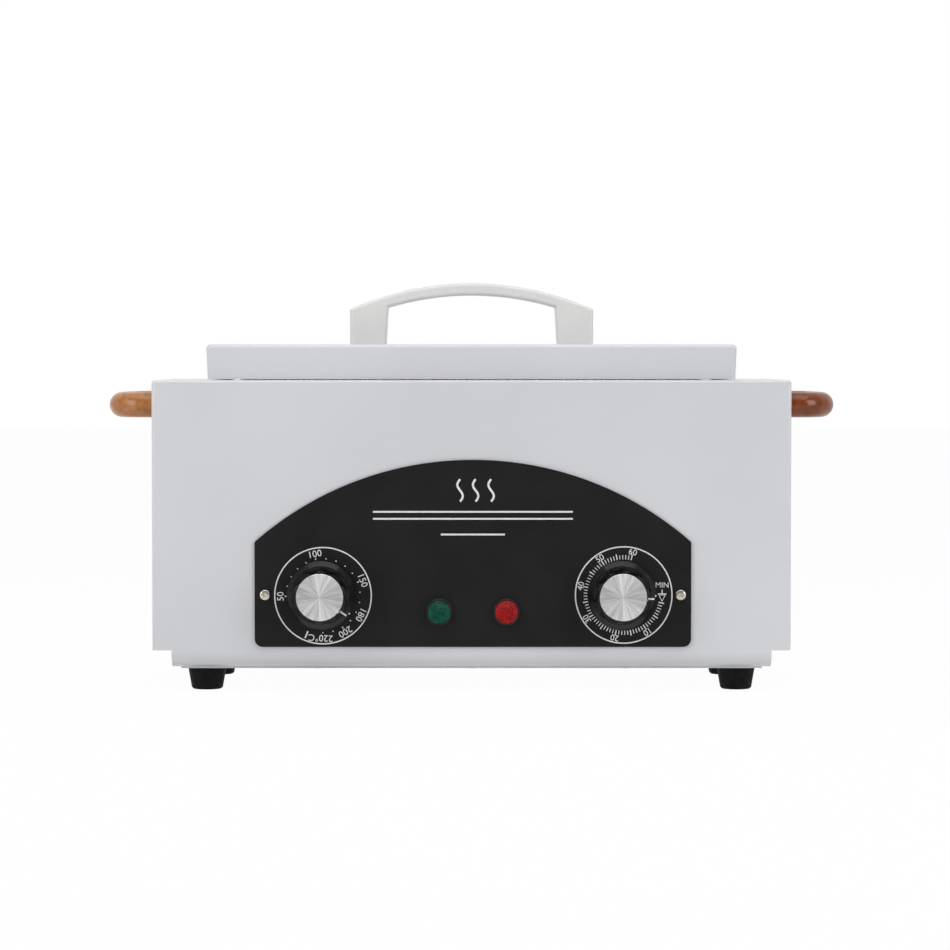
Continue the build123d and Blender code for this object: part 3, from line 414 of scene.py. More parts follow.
def cross_screw(size, length):
    """One pan-head screw with a cross recess: head up from z = 0, rolled thread below it."""
    shank, head, pitch = size["shank"], size["head"], size["pitch"]
    height = size.get("shown_height", size["height"])
    root = shank - thread_depth * pitch
    outline = [(0, -length), (root * tip_taper, -length)]
    for turn in range(int((length - pitch) / pitch)):
        z = -length + pitch * (tip_plain + turn)
        outline += [(root, z), (shank, z + 0.5 * pitch)]
    outline += [(root, -neck_plain * pitch), (root, 0), (head, 0), (head, head_flank * height)]
    for step in range(1, crown_steps + 1):
        lean = math.pi / 2 * step / crown_steps
        inward = head_crown * height * (1 - math.cos(lean))
        outline.append((head - inward, height * (head_flank + head_crown * math.sin(lean))))
    outline += [(head * flat_top, height), (0, height)]
    form = bmesh.new()
    turned(form, outline, screw_sides)
    screw = as_piece(form, "screw_blank")
    wings = bmesh.new()
    for turn in (0, math.pi / 2):
        arm = bmesh.ops.create_cube(wings, size=1.0)["verts"]
        blade = (recess_length * head, recess_width * head, recess_depth * height)
        bmesh.ops.scale(wings, vec=blade, verts=arm)
        for vert in arm:
            if vert.co.z < 0:
                vert.co.x *= recess_taper
        bmesh.ops.translate(wings, vec=(0, 0, height), verts=arm)
        bmesh.ops.rotate(wings, matrix=Matrix.Rotation(turn, 3, "Z"), verts=arm)
    cutter = as_piece(wings, "driver_tip")
    cut = screw.modifiers.new("recess", "BOOLEAN")
    cut.object = cutter
    cut.solver = "EXACT"
    cut.use_self = True
    recessed = screw.evaluated_get(bpy.context.evaluated_depsgraph_get())
    mesh = bpy.data.meshes.new_from_object(recessed)
    bpy.data.objects.remove(screw)
    bpy.data.objects.remove(cutter)
    return bpy.data.objects.new("screw", mesh)


def set_screws(node, name, facing, size, seed, finish=zinc, body="housing", slot="zinc"):
    """Puts a cross-head screw where each solid of a CAD screw node is, its head facing this way."""
    axis = [abs(part) for part in facing].index(1)
    spots = bpy.data.meshes.new(name)
    seats = []
    for low, high in separate_boxes(node):
        seat = (low + high) / 2
        reach = high[axis] - low[axis] - size["height"]
        top = high[axis] if facing[axis] > 0 else low[axis]
        seat[axis] = top - facing[axis] * size["height"]
        seats.append(seat)
    spots.from_pydata(seats, [], [])
    screw = cross_screw(size, reach)
    inputs = {"Screw": screw, "Facing": facing, "Seed": seed, "Finish": finish}
    piece = grow(screw_tree, spots, name, **inputs)
    bpy.data.objects.remove(screw)
    fit(piece, finish, body, slot, node)


set_screws("base_screws", "cover_screws", (0, 0, -1), flush_m3, 5)
set_screws("foot_screws", "screws_in_feet", (0, 0, -1), m4, 8)
skin("foot_nuts", "nuts_over_feet", zinc, "housing", "zinc")

# The tank is a tub drawn from stainless sheet, hung by its rim on the deck. A fibre jacket wraps
# it, and a folded steel shield across the body carries the jacket.
steel_dark = (0.50, 0.50, 0.49)
steel_light = (0.62, 0.615, 0.60)
fibre_dark = (0.58, 0.53, 0.42)
fibre_light = (0.76, 0.72, 0.61)

stainless, tree, shader = new_finish("stainless", Metallic=1.0)
tint(tree, shader, cloud(tree, scale=60.0, stretch=(1, 1, 0.15), detail=5.0), steel_dark, steel_light)
drawn_lines = cloud(tree, scale=420.0, stretch=(1, 1, 0.06), detail=4.0)
fine_lines = cloud(tree, scale=1800.0, stretch=(1, 1, 0.05))
dull(tree, shader, drawn_lines, smoothest=0.20, roughest=0.34)
raise_surface(tree, shader, fine_lines, height=0.00001, strength=0.5)
skin("tank", "steel_tank", stainless, "housing", "stainless")

fibre, tree, shader = new_finish("mineral_fibre", Specular_IOR_Level=0.2)
tint(tree, shader, cloud(tree, scale=220.0, stretch=(1, 1, 4), detail=8.0), fibre_dark, fibre_light)
dull(tree, shader, cloud(tree, scale=300.0), smoothest=0.85, roughest=0.98)
tufts = cloud(tree, scale=700.0, stretch=(1, 1, 5), detail=8.0)
raise_surface(tree, shader, tufts, height=0.0004, strength=0.8)
skin("insulation_jacket", "fibre_jacket", fibre, "housing", "fibre")
skin("heat_shield", "steel_shield", zinc, "housing", "zinc")

# The heater is one sheathed element bent into a hairpin under the tank, held up by two straps on
# studs. A cut-out disc and the thermostat's copper bulb lie against the tank between its passes.
sheath_dark = (0.075, 0.070, 0.066)
sheath_light = (0.16, 0.15, 0.135)
copper_dark = (0.55, 0.24, 0.13)
copper_light = (0.74, 0.37, 0.22)

sheath, tree, shader = new_finish("heater_sheath", Metallic=0.85)
tint(tree, shader, cloud(tree, scale=130.0, detail=6.0), sheath_dark, sheath_light)
dull(tree, shader, cloud(tree, scale=260.0), smoothest=0.42, roughest=0.6)
raise_surface(tree, shader, cloud(tree, scale=1200.0, detail=4.0), height=0.00003, strength=0.6)
skin("heater", "heating_element", sheath, "housing", "stainless")
skin("heater_straps", "heater_brackets", stainless, "housing", "stainless")
skin("strap_nuts", "bracket_nuts", zinc, "housing", "zinc")

copper, tree, shader = new_finish("copper", Metallic=1.0)
tint(tree, shader, cloud(tree, scale=180.0, detail=5.0), copper_dark, copper_light)
dull(tree, shader, cloud(tree, scale=400.0), smoothest=0.25, roughest=0.42)
raise_surface(tree, shader, cloud(tree, scale=1500.0), height=0.00001, strength=0.6)
skin("sensing_bulb", "copper_bulb", copper, "housing", "copper")

# The thermostat and the clockwork timer are plain moulded cases behind the front wall. Two screws
# through the wall hold each, and a steel shaft with a flat reaches out for its knob.
case_dark = (0.020, 0.019, 0.018)
case_light = (0.036, 0.034, 0.031)

case_plastic, tree, shader = new_finish("case_plastic", Specular_IOR_Level=0.4)
tint(tree, shader, cloud(tree, scale=150.0, detail=5.0), case_dark, case_light)
dull(tree, shader, cloud(tree, scale=600.0), smoothest=0.42, roughest=0.58)
raise_surface(tree, shader, cloud(tree, scale=2200.0, detail=3.0), height=0.00003, strength=0.6)
skin("thermostat", "thermostat_case", case_plastic, "housing", "case_plastic")
skin("timer", "timer_case", case_plastic, "housing", "case_plastic")
skin("thermal_cutout", "cutout_disc", case_plastic, "housing", "case_plastic")
skin("temperature_shaft", "thermostat_spindle", zinc, "temperature_control", "zinc")
skin("timer_shaft", "timer_spindle", zinc, "timer_control", "zinc")
set_screws("control_screws", "screws_of_controls", (0, -1, 0), m3, 2)

# The terminal block is glazed ceramic, screwed to the base. The cord's gland is a nylon bush
# through the back wall, clamped by a nut inside.
ceramic_dark = (0.66, 0.63, 0.57)
ceramic_light = (0.78, 0.76, 0.71)
nylon_dark = (0.012, 0.012, 0.012)
nylon_light = (0.024, 0.024, 0.025)

ceramic, tree, shader = new_finish("glazed_ceramic", Coat_Weight=0.4, Coat_Roughness=0.1)
tint(tree, shader, cloud(tree, scale=260.0, detail=6.0), ceramic_dark, ceramic_light)
dull(tree, shader, cloud(tree, scale=500.0), smoothest=0.25, roughest=0.4)
raise_surface(tree, shader, cloud(tree, scale=900.0), height=0.00003, strength=0.5)
skin("terminal_block", "wiring_block", ceramic, "housing", "ceramic")

nylon, tree, shader = new_finish("black_nylon", Specular_IOR_Level=0.2)
tint(tree, shader, cloud(tree, scale=260.0, detail=4.0), nylon_dark, nylon_light)
dull(tree, shader, cloud(tree, scale=700.0), smoothest=0.38, roughest=0.52)
raise_surface(tree, shader, cloud(tree, scale=1800.0, detail=3.0), height=0.00003, strength=0.6)
skin("cord_gland", "gland_bush", nylon, "housing", "nylon")
skin("gland_nut", "gland_lock_nut", nylon, "housing", "nylon")

# The front plate is aluminium sheet painted satin black, with its dials screen-printed in white.
# The mark above the lamps is a plain heat symbol over three rules. Two screws hold the plate.
plate_black_dark = (0.0080, 0.0080, 0.0082)
plate_black_light = (0.0110, 0.0110, 0.0112)
ink_dark = (0.66, 0.66, 0.67)
ink_light = (0.78, 0.78, 0.79)
nickel_dark = (0.50, 0.46, 0.39)
nickel_light = (0.68, 0.64, 0.56)
ink_thickness = 0.00004
dial_ring_radius = 0.0249
dial_ring_line = 0.00062
temperature_dial = (-0.0766, 0.0499)
timer_dial = (0.0785, 0.05025)
degree_of_50 = 181.0
degrees_per_kelvin = -1.596
degree_of_zero = -11.9
degrees_per_minute = -4.5
temperatures = {50: "50", 100: "100", 150: "150", 180: "180", 200: "200", 220: "220°C"}
temperature_size = 0.0036
temperature_radius = 0.0218
unit_shift = -3.0
end_bar = [(0.0200, -113.0), (0.0238, -113.0)]
end_bar_line = 0.00075
minute_size = 0.0033
minute_radius = 0.0225
minute_word = (0.0983, 0.0553)
minute_word_size = 0.0029
arrow_stem = [(0.0983, 0.0530), (0.0983, 0.0509)]
arrow_bar = [(0.0961, 0.0508), (0.1005, 0.0508)]
arrow_head = [(0.0967, 0.0502), (0.0999, 0.0502), (0.0983, 0.0470)]
arrow_line = 0.0006
heat_waves = (-0.0059, 0.0021, 0.0101)
heat_wave_foot = 0.0985
heat_wave_height = 0.0115
heat_wave_sway = 0.0014
heat_wave_steps = 24
heat_wave_line = 0.0011
rule_centre = 0.0007
rules = {0.0932: 0.0515, 0.0896: 0.0515, 0.0815: 0.0165}
rule_line = 0.0009
letter_share = 0.73

plate_black, tree, shader = new_finish("plate_black", Specular_IOR_Level=0.16)
tint(tree, shader, cloud(tree, scale=40.0, detail=4.0), plate_black_dark, plate_black_light)
dull(tree, shader, cloud(tree, scale=300.0), smoothest=0.42, roughest=0.52)
raise_surface(tree, shader, cloud(tree, scale=1600.0, detail=3.0), height=0.00002, strength=0.5)
skin("front_plate", "black_plate", plate_black, "housing", "plate_black")
plate_face_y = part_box("front_plate")[0].y

ink, tree, shader = new_finish("white_ink", Specular_IOR_Level=0.3)
tint(tree, shader, cloud(tree, scale=900.0, detail=4.0), ink_dark, ink_light)
dull(tree, shader, cloud(tree, scale=700.0), smoothest=0.45, roughest=0.6)
raise_surface(tree, shader, cloud(tree, scale=3000.0), height=0.00001, strength=0.4)


def ribbon(form, line, width, closed=False):
    """A printed line of this width along (x, z) points, raised a hair above the plate."""
    count = len(line)
    rows = []
    for index, (x, z) in enumerate(line):
        before = line[index - 1] if closed or index else line[0]
        after = line[(index + 1) % count] if closed or index < count - 1 else line[-1]
        run = Vector((after[0] - before[0], 0, after[1] - before[1])).normalized()
        side = Vector((-run.z, 0, run.x)) * width / 2
        row = []
        for lift in (plate_face_y - ink_thickness, plate_face_y):
            centre = Vector((x, lift, z))
            row += [form.verts.new(centre + side), form.verts.new(centre - side)]
        rows.append(row)
    pairs = list(zip(rows, rows[1:]))
    if closed:
        pairs.append((rows[-1], rows[0]))
    for (a, b, c, d), (e, f, g, h) in pairs:
        for corners in ((a, e, f, b), (c, d, h, g), (a, c, g, e), (b, f, h, d)):
            form.faces.new(corners)
    if not closed:
        for a, b, c, d in (rows[0], rows[-1]):
            form.faces.new((a, b, d, c))


def dial_point(dial, radius, degrees):
    """The (x, z) spot at this radius and angle on a dial."""
    angle = math.radians(degrees)
    return dial[0] + radius * math.cos(angle), dial[1] + radius * math.sin(angle)


def lettering(form, text, height, place):
    """Printed characters, this high, laid on the plate by a matrix."""
    font = bpy.data.curves.new(text, "FONT")
    font.body = text
    font.size = height / letter_share
    font.align_x = "CENTER"
    font.align_y = "CENTER"
    font.extrude = ink_thickness / 2
    font.resolution_u = 3
    holder = bpy.data.objects.new(text, font)
    bpy.context.collection.objects.link(holder)
    written = holder.evaluated_get(bpy.context.evaluated_depsgraph_get())
    mesh = bpy.data.meshes.new_from_object(written)
    mesh.transform(place)
    form.from_mesh(mesh)
    bpy.data.objects.remove(holder)


def on_plate(spot, degrees=0.0):
    """The matrix that lays characters on the plate at a spot, turned by this angle."""
    centre = Matrix.Translation((spot[0], plate_face_y - ink_thickness / 2, spot[1]))
    turn = Matrix.Rotation(math.radians(degrees), 4, "Z")
    return centre @ Matrix.Rotation(math.pi / 2, 4, "X") @ turn


def circle(dial, radius, steps=128):
    """Points round a dial."""
    return [dial_point(dial, radius, 360 * step / steps) for step in range(steps)]


printing = bmesh.new()
ribbon(printing, circle(temperature_dial, dial_ring_radius), dial_ring_line, closed=True)
ribbon(printing, circle(timer_dial, dial_ring_radius), dial_ring_line, closed=True)
for value, label in temperatures.items():
    degrees = degree_of_50 + degrees_per_kelvin * (value - 50)
    if not label.isdigit():
        degrees += unit_shift
    spot = dial_point(temperature_dial, temperature_radius, degrees)
    lettering(printing, label, temperature_size, on_plate(spot, degrees - 90))
bar = [dial_point(temperature_dial, radius, degrees) for radius, degrees in end_bar]
ribbon(printing, bar, end_bar_line)
for minutes in range(10, 61, 10):
    degrees = degree_of_zero + degrees_per_minute * minutes
    spot = dial_point(timer_dial, minute_radius, degrees)
    lettering(printing, str(minutes), minute_size, on_plate(spot, degrees - 90))
lettering(printing, "MIN", minute_word_size, on_plate(minute_word))
ribbon(printing, arrow_stem, arrow_line)
ribbon(printing, arrow_bar, arrow_line)
ribbon(printing, arrow_head, arrow_line, closed=True)
for x in heat_waves:
    wave = []
    for step in range(heat_wave_steps + 1):
        share = step / heat_wave_steps
        sway = heat_wave_sway * math.sin(math.tau * share)
        wave.append((x + sway, heat_wave_foot + heat_wave_height * share))
    ribbon(printing, wave, heat_wave_line)
for z, reach in rules.items():
    ribbon(printing, [(rule_centre - reach, z), (rule_centre + reach, z)], rule_line)
bmesh.ops.recalc_face_normals(printing, faces=printing.faces)
print_piece = as_piece(printing, "printed_dials", crease=20)
fit(print_piece, ink, "housing", "plate_black")

mark_tree = bpy.data.node_groups.new("marks_round_a_dial", "GeometryNodeTree")
new_input(mark_tree, "Centre", "Geometry")
for name, value in (("Count", 61), ("Long Every", 5)):
    new_input(mark_tree, name, "Int", value)
mark_sizes = ("First Angle", "Step", "Inner", "Outer", "Long Outer", "Width", "Long Width", "Thickness")
for name in mark_sizes:
    new_input(mark_tree, name, "Float", 0.0)
new_input(mark_tree, "Finish", "Material")
mark_tree.interface.new_socket(name="Marks", in_out="OUTPUT", socket_type="NodeSocketGeometry")
given = mark_tree.nodes.new("NodeGroupInput")
result = mark_tree.nodes.new("NodeGroupOutput")


def either(tree, choice, plain, chosen):
    """The plain value, or the chosen one where the choice holds."""
    node = tree.nodes.new("GeometryNodeSwitch")
    node.input_type = "FLOAT"
    tree.links.new(choice, node.inputs["Switch"])
    tree.links.new(plain, node.inputs["False"])
    tree.links.new(chosen, node.inputs["True"])
    return node.outputs["Output"]


which = mark_tree.nodes.new("GeometryNodeInputIndex").outputs["Index"]
is_long = mark_tree.nodes.new("FunctionNodeCompare")
is_long.data_type = "FLOAT"
is_long.operation = "LESS_THAN"
is_long.inputs[1].default_value = 0.5
place_in_five = calculated(mark_tree, "MODULO", which, given.outputs["Long Every"])
mark_tree.links.new(place_in_five, is_long.inputs[0])
long_one = is_long.outputs["Result"]
outer = either(mark_tree, long_one, given.outputs["Outer"], given.outputs["Long Outer"])
width = either(mark_tree, long_one, given.outputs["Width"], given.outputs["Long Width"])
length = calculated(mark_tree, "SUBTRACT", outer, given.outputs["Inner"])
both_ends = calculated(mark_tree, "ADD", outer, given.outputs["Inner"])
middle = calculated(mark_tree, "MULTIPLY", both_ends, 0.5)
turned_by = calculated(mark_tree, "MULTIPLY", which, given.outputs["Step"])
turn = calculated(mark_tree, "ADD", given.outputs["First Angle"], turned_by)
spot = mark_tree.nodes.new("ShaderNodeCombineXYZ")
for axis, wave in (("X", "COSINE"), ("Z", "SINE")):
    along = calculated(mark_tree, "MULTIPLY", middle, calculated(mark_tree, wave, turn, 0))
    mark_tree.links.new(along, spot.inputs[axis])
lean = mark_tree.nodes.new("ShaderNodeCombineXYZ")
mark_tree.links.new(calculated(mark_tree, "MULTIPLY", turn, -1.0), lean.inputs["Y"])
block = mark_tree.nodes.new("ShaderNodeCombineXYZ")
mark_tree.links.new(length, block.inputs["X"])
mark_tree.links.new(width, block.inputs["Z"])
dots = mark_tree.nodes.new("GeometryNodePoints")
one_mark = mark_tree.nodes.new("GeometryNodeMeshCube")
put = mark_tree.nodes.new("GeometryNodeInstanceOnPoints")
hub = mark_tree.nodes.new("GeometryNodeSampleIndex")
hub.data_type = "FLOAT_VECTOR"
hub_place = mark_tree.nodes.new("GeometryNodeInputPosition")
shift = mark_tree.nodes.new("GeometryNodeSetPosition")
real = mark_tree.nodes.new("GeometryNodeRealizeInstances")
coat = mark_tree.nodes.new("GeometryNodeSetMaterial")
wire(
    mark_tree,
    (given, "Thickness", block, "Y"),
    (given, "Count", dots, "Count"),
    (spot, "Vector", dots, "Position"),
    (given, "Centre", hub, "Geometry"),
    (hub_place, "Position", hub, "Value"),
    (dots, "Points", put, "Points"),
    (one_mark, "Mesh", put, "Instance"),
    (lean, "Vector", put, "Rotation"),
    (block, "Vector", put, "Scale"),
    (put, "Instances", real, "Geometry"),
    (real, "Geometry", shift, "Geometry"),
    (hub, "Value", shift, "Offset"),
    (shift, "Geometry", coat, "Geometry"),
    (given, "Finish", coat, "Material"),
    (coat, "Geometry", result, "Marks"),
)


def dial_marks(name, dial, **sizes):
    """Printed marks round a dial."""
    centre = bpy.data.meshes.new(name)
    centre.from_pydata([(dial[0], plate_face_y - ink_thickness / 2, dial[1])], [], [])
    piece = grow(mark_tree, centre, name, Thickness=ink_thickness, Finish=ink, **sizes)
    fit(piece, ink, "housing", "plate_black")


dial_marks("timer_ticks", timer_dial, **{
    "Count": 61, "Long Every": 5,
    "First Angle": math.radians(degree_of_zero), "Step": math.radians(degrees_per_minute),
    "Inner": 0.0184, "Outer": 0.0206, "Long Outer": 0.0213, "Width": 0.00045, "Long Width": 0.0006,
})
dial_marks("temperature_dots", temperature_dial, **{
    "Count": 18, "Long Every": 5,
    "First Angle": math.radians(degree_of_50), "Step": math.radians(10 * degrees_per_kelvin),
    "Inner": 0.0188, "Outer": 0.0194, "Long Outer": 0.0198, "Width": 0.0006, "Long Width": 0.00055,
})

nickel, tree, shader = new_finish("nickel_plate", Metallic=1.0)
tint(tree, shader, cloud(tree, scale=700.0, detail=4.0), nickel_dark, nickel_light)
dull(tree, shader, cloud(tree, scale=900.0), smoothest=0.22, roughest=0.34)
raise_surface(tree, shader, cloud(tree, scale=2500.0), height=0.00001, strength=0.5)
set_screws("plate_screws", "screws_in_plate", (0, -1, 0), m3, 4, finish=nickel, slot="nickel")

# The two pilot lamps are green and red lenses of clear plastic, moulded with crossed prisms, in
# black housings. Sheet clips hold the housings behind the wall.
lens_radius = 0.0060
lens_shoulder = 0.0024
lens_rise = 0.0042
prism_pitch = 0.0016
prism_depth = 0.00040
dome_power = 2.4
prism_fade = 8
lens_cells = 88
green_dark, green_light = (0.000, 0.036, 0.023), (0.001, 0.078, 0.052)
red_dark, red_light = (0.20, 0.003, 0.003), (0.34, 0.007, 0.007)

skin("lamp_housings", "lamp_bezels", nylon, "housing", "knob_black")
skin("lamp_clips", "lamp_spring_clips", stainless, "housing", "stainless")


def prism_lens(node, name, finish, slot):
    """A domed lens on the lamp's axis, its face cut into small pyramids."""
    low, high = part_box(node)
    centre = (low + high) / 2
    base_y = high.y
    form = bmesh.new()
    grid = []
    for row in range(lens_cells + 1):
        line = []
        for column in range(lens_cells + 1):
            u = 2 * column / lens_cells - 1
            v = 2 * row / lens_cells - 1
            x = lens_radius * u * math.sqrt(1 - v * v / 2)
            z = lens_radius * v * math.sqrt(1 - u * u / 2)
            out = min(1.0, math.hypot(x, z) / lens_radius)
            dome = (lens_rise - lens_shoulder) * math.sqrt(max(0.0, 1 - out ** dome_power))
            across = abs(((x + z) / prism_pitch) % 1 - 0.5) + abs(((x - z) / prism_pitch) % 1 - 0.5)
            cut = prism_depth * across * (1 - out ** prism_fade)
            y = low.y + lens_rise - (lens_shoulder + dome) + cut
            line.append(form.verts.new((centre.x + x, y, centre.z + z)))
        grid.append(line)
    for below, above in zip(grid, grid[1:]):
        for column in range(lens_cells):
            after = column + 1
            form.faces.new((below[column], below[after], above[after], above[column]))
    right = [line[-1] for line in grid[1:]]
    left = [line[0] for line in grid[-2:0:-1]]
    edge = grid[0] + right + grid[-1][-2::-1] + left
    back = [form.verts.new((vert.co.x, base_y, vert.co.z)) for vert in edge]
    for index, vert in enumerate(edge):
        after = (index + 1) % len(edge)
        form.faces.new((vert, edge[after], back[after], back[index]))
    form.faces.new(back)
    bmesh.ops.recalc_face_normals(form, faces=form.faces)
    piece = as_piece(form, name, crease=25)
    fit(piece, finish, "housing", slot, node)


for node, name, slot, dark, light in (
    ("green_lens", "green_lamp_lens", "lens_green", green_dark, green_light),
    ("red_lens", "red_lamp_lens", "lens_red", red_dark, red_light),
):
    lens_plastic, tree, shader = new_finish(
        slot, IOR=1.49, Specular_IOR_Level=0.12, Coat_Weight=0.05, Coat_Roughness=0.05)
    tint(tree, shader, cloud(tree, scale=500.0, detail=3.0), dark, light)
    dull(tree, shader, cloud(tree, scale=900.0), smoothest=0.12, roughest=0.2)
    prism_lens(node, name, lens_plastic, slot)

# The knobs are moulded in glossy black with a flared skirt, ten flutes and a white line, and each
# carries a disc of spun aluminium. They are hollow behind, round a hub that grips the shaft.
knob_black_dark = (0.0060, 0.0060, 0.0062)
knob_black_light = (0.0100, 0.0100, 0.0104)
# Dark and bright ends of the painted reflection: radial streaks laid into the spun disc's colour.
spun_painted_dark_spoke = (0.50, 0.50, 0.50)
spun_painted_bright_spoke = (0.84, 0.84, 0.84)
ring_grain = (3.0, 90.0, 1.0)
# The spoke pattern drives the painted reflection streaks in the disc's colour as well as its roughness.
spoke_grain_and_sheen = (30.0, 0.6, 1.0)
knob_spots = {"temperature": (-0.0775, 0.0503), "timer": (0.0775, 0.0503)}
line_angles = {"temperature": -38.5, "timer": -6.5}
knob_back_y = -0.05295
knob_length = 0.0188
knob_sides = 360
skirt_radius = 0.0178
skirt_edge = 0.0018
skirt_edge_round = 0.0004
skirt_back_round = 0.0003
grip_radius = 0.0144
front_radius = 0.0134
flare_height = 0.0056
flare_round = 0.0040
front_round = 0.0009
knob_wall = 0.0020
hub_radius = 0.0050
cored_depth = 0.0120
bore_radius = 0.0031
bore_depth = 0.0100
flute_count = 10
flute_radius = 0.0055
flute_depth = 0.0009
flute_step = 0.000001
cap_radius = 0.0122
cap_thickness = 0.0009
cap_clearance = 0.00005
cap_proud = 0.0001
cap_bevel = 0.00025
cap_hub = 0.0002
cap_sides = 96
cap_rings = 8
rim_start = cap_radius + 0.0001
line_width = 0.0009
line_start = cap_radius + 0.0002
line_end = 0.0166
line_steps = 4
line_lift = 0.00008
dash_reach = (0.0170, 0.0176)
dash_turn = math.radians(5.5)


def rounded(corners, steps=8):
    """An outline through (radius, height, rounding) corners, each rounding drawn as an arc."""
    points = []
    for index, (r, h, rounding) in enumerate(corners):
        if not rounding:
            points.append((r, h))
            continue
        here = Vector((r, h))
        back = (Vector(corners[index - 1][:2]) - here).normalized()
        on = (Vector(corners[index + 1][:2]) - here).normalized()
        half = back.angle(on) / 2
        centre = here + (back + on).normalized() * rounding / math.sin(half)
        first = here + back * rounding / math.tan(half)
        last = here + on * rounding / math.tan(half)
        start = first - centre
        sweep = (last - centre).angle_signed(start)
        for step in range(steps + 1):
            turn = sweep * step / steps
            cos, sin = math.cos(turn), math.sin(turn)
            across = start.x * cos - start.y * sin
            along = start.x * sin + start.y * cos
            points.append((centre.x + across, centre.y + along))
    return points


knob_front = knob_length - cap_proud
knob_outline = rounded([
    (0, knob_length - cap_thickness, 0),
    (cap_radius + cap_clearance, knob_length - cap_thickness, 0),
    (cap_radius + cap_clearance, knob_front, 0),
    (front_radius, knob_front, front_round),
    (grip_radius, flare_height, flare_round),
    (skirt_radius, skirt_edge, skirt_edge_round),
    (skirt_radius, 0, skirt_back_round),
    (skirt_radius - knob_wall, 0, 0),
    (grip_radius - knob_wall - flute_depth, flare_height, 0),
    (front_radius - knob_wall - flute_depth, cored_depth, 0),
    (hub_radius, cored_depth, 0),
    (hub_radius, 0, 0),
    (bore_radius, 0, 0),
    (bore_radius, bore_depth, 0),
    (0, bore_depth, 0),
])


def fluted(radius, height, angle):
    """The knob's radius where a flute may cut into the grip."""
    if height < flare_height or radius <= rim_start:
        return radius
    hub_distance = front_radius + flute_radius - flute_depth
    pitch = math.tau / flute_count
    off = (angle + pitch / 2) % pitch - pitch / 2
    reach = flute_radius ** 2 - (hub_distance * math.sin(off)) ** 2
    if reach <= 0:
        return radius
    return min(radius, hub_distance * math.cos(off) - math.sqrt(reach))


def knob_mesh(name, centre_x, centre_z, pointer_degrees, body, node):
    """The black moulding, its flutes lined up with its white line."""
    form = bmesh.new()
    outline = []
    for (r0, h0), (r1, h1) in zip(knob_outline, knob_outline[1:]):
        outline.append((r0, h0))
        if r0 > cap_radius and r1 > cap_radius and h0 > flare_height > h1:
            share = (h0 - flare_height) / (h0 - h1)
            edge = r0 + (r1 - r0) * share
            outline += [(edge, flare_height + flute_step), (edge, flare_height - flute_step)]
    outline.append(knob_outline[-1])
    turn = math.radians(pointer_degrees)
    turned(form, outline, knob_sides, radius_at=fluted)
    seat = Matrix.Translation((centre_x, knob_back_y, centre_z))
    lay = seat @ Matrix.Rotation(-turn, 4, "Y") @ Matrix.Rotation(math.pi / 2, 4, "X")
    bmesh.ops.transform(form, matrix=lay, verts=form.verts)
    bmesh.ops.recalc_face_normals(form, faces=form.faces)
    piece = as_piece(form, name, crease=32)
    fit(piece, knob_black, body, "knob_black", node)
    return lay


def pointer_line(name, lay, body):
    """The white line: from the disc down the flute and out along the skirt, and a dash at the rim."""
    outside = [(r, h) for r, h in knob_outline if r > rim_start and h >= skirt_edge]

    def on_skirt(radius):
        """The spot of the knob's outer face at this radius."""
        for (r0, h0), (r1, h1) in zip(outside, outside[1:]):
            if r0 <= radius <= r1 and h0 < knob_front:
                return radius, h0 + (h1 - h0) * (radius - r0) / (r1 - r0)

    flute_floor = front_radius - flute_depth
    ledge = grip_radius
    while on_skirt(ledge)[1] >= flare_height:
        ledge += cap_clearance
    line = [(line_start, knob_front), (flute_floor, knob_front),
            (flute_floor, flare_height), (ledge, flare_height)]
    for step in range(1, line_steps + 1):
        line.append(on_skirt(ledge + (line_end - ledge) * step / line_steps))
    dash = [on_skirt(radius) for radius in dash_reach]
    form = bmesh.new()
    for run, turn in ((line, 0), (dash, dash_turn)):
        rows = []
        for index, (r, h) in enumerate(run):
            here = Vector((r, h))
            last = index == len(run) - 1
            before = (here - Vector(run[index - 1])).normalized() if index else None
            after = before if last else (Vector(run[index + 1]) - here).normalized()
            before = before or after
            square = Vector((-before.y - after.y, before.x + after.x)) / (1 + before.dot(after))
            row = []
            for lift in (line_lift, -line_lift):
                spot = here + square * lift
                for side in (-line_width / 2, line_width / 2):
                    place = Matrix.Rotation(turn, 3, "Z") @ Vector((spot.x, side, spot.y))
                    row.append(form.verts.new(lay @ place))
            rows.append(row)
        for (a, b, c, d), (e, f, g, h) in zip(rows, rows[1:]):
            for corners in ((a, b, f, e), (c, g, h, d), (a, e, g, c), (b, d, h, f)):
                form.faces.new(corners)
        for a, b, c, d in (rows[0], rows[-1]):
            form.faces.new((a, b, d, c))
    bmesh.ops.recalc_face_normals(form, faces=form.faces)
    piece = as_piece(form, name)
    fit(piece, ink, body, "knob_black")


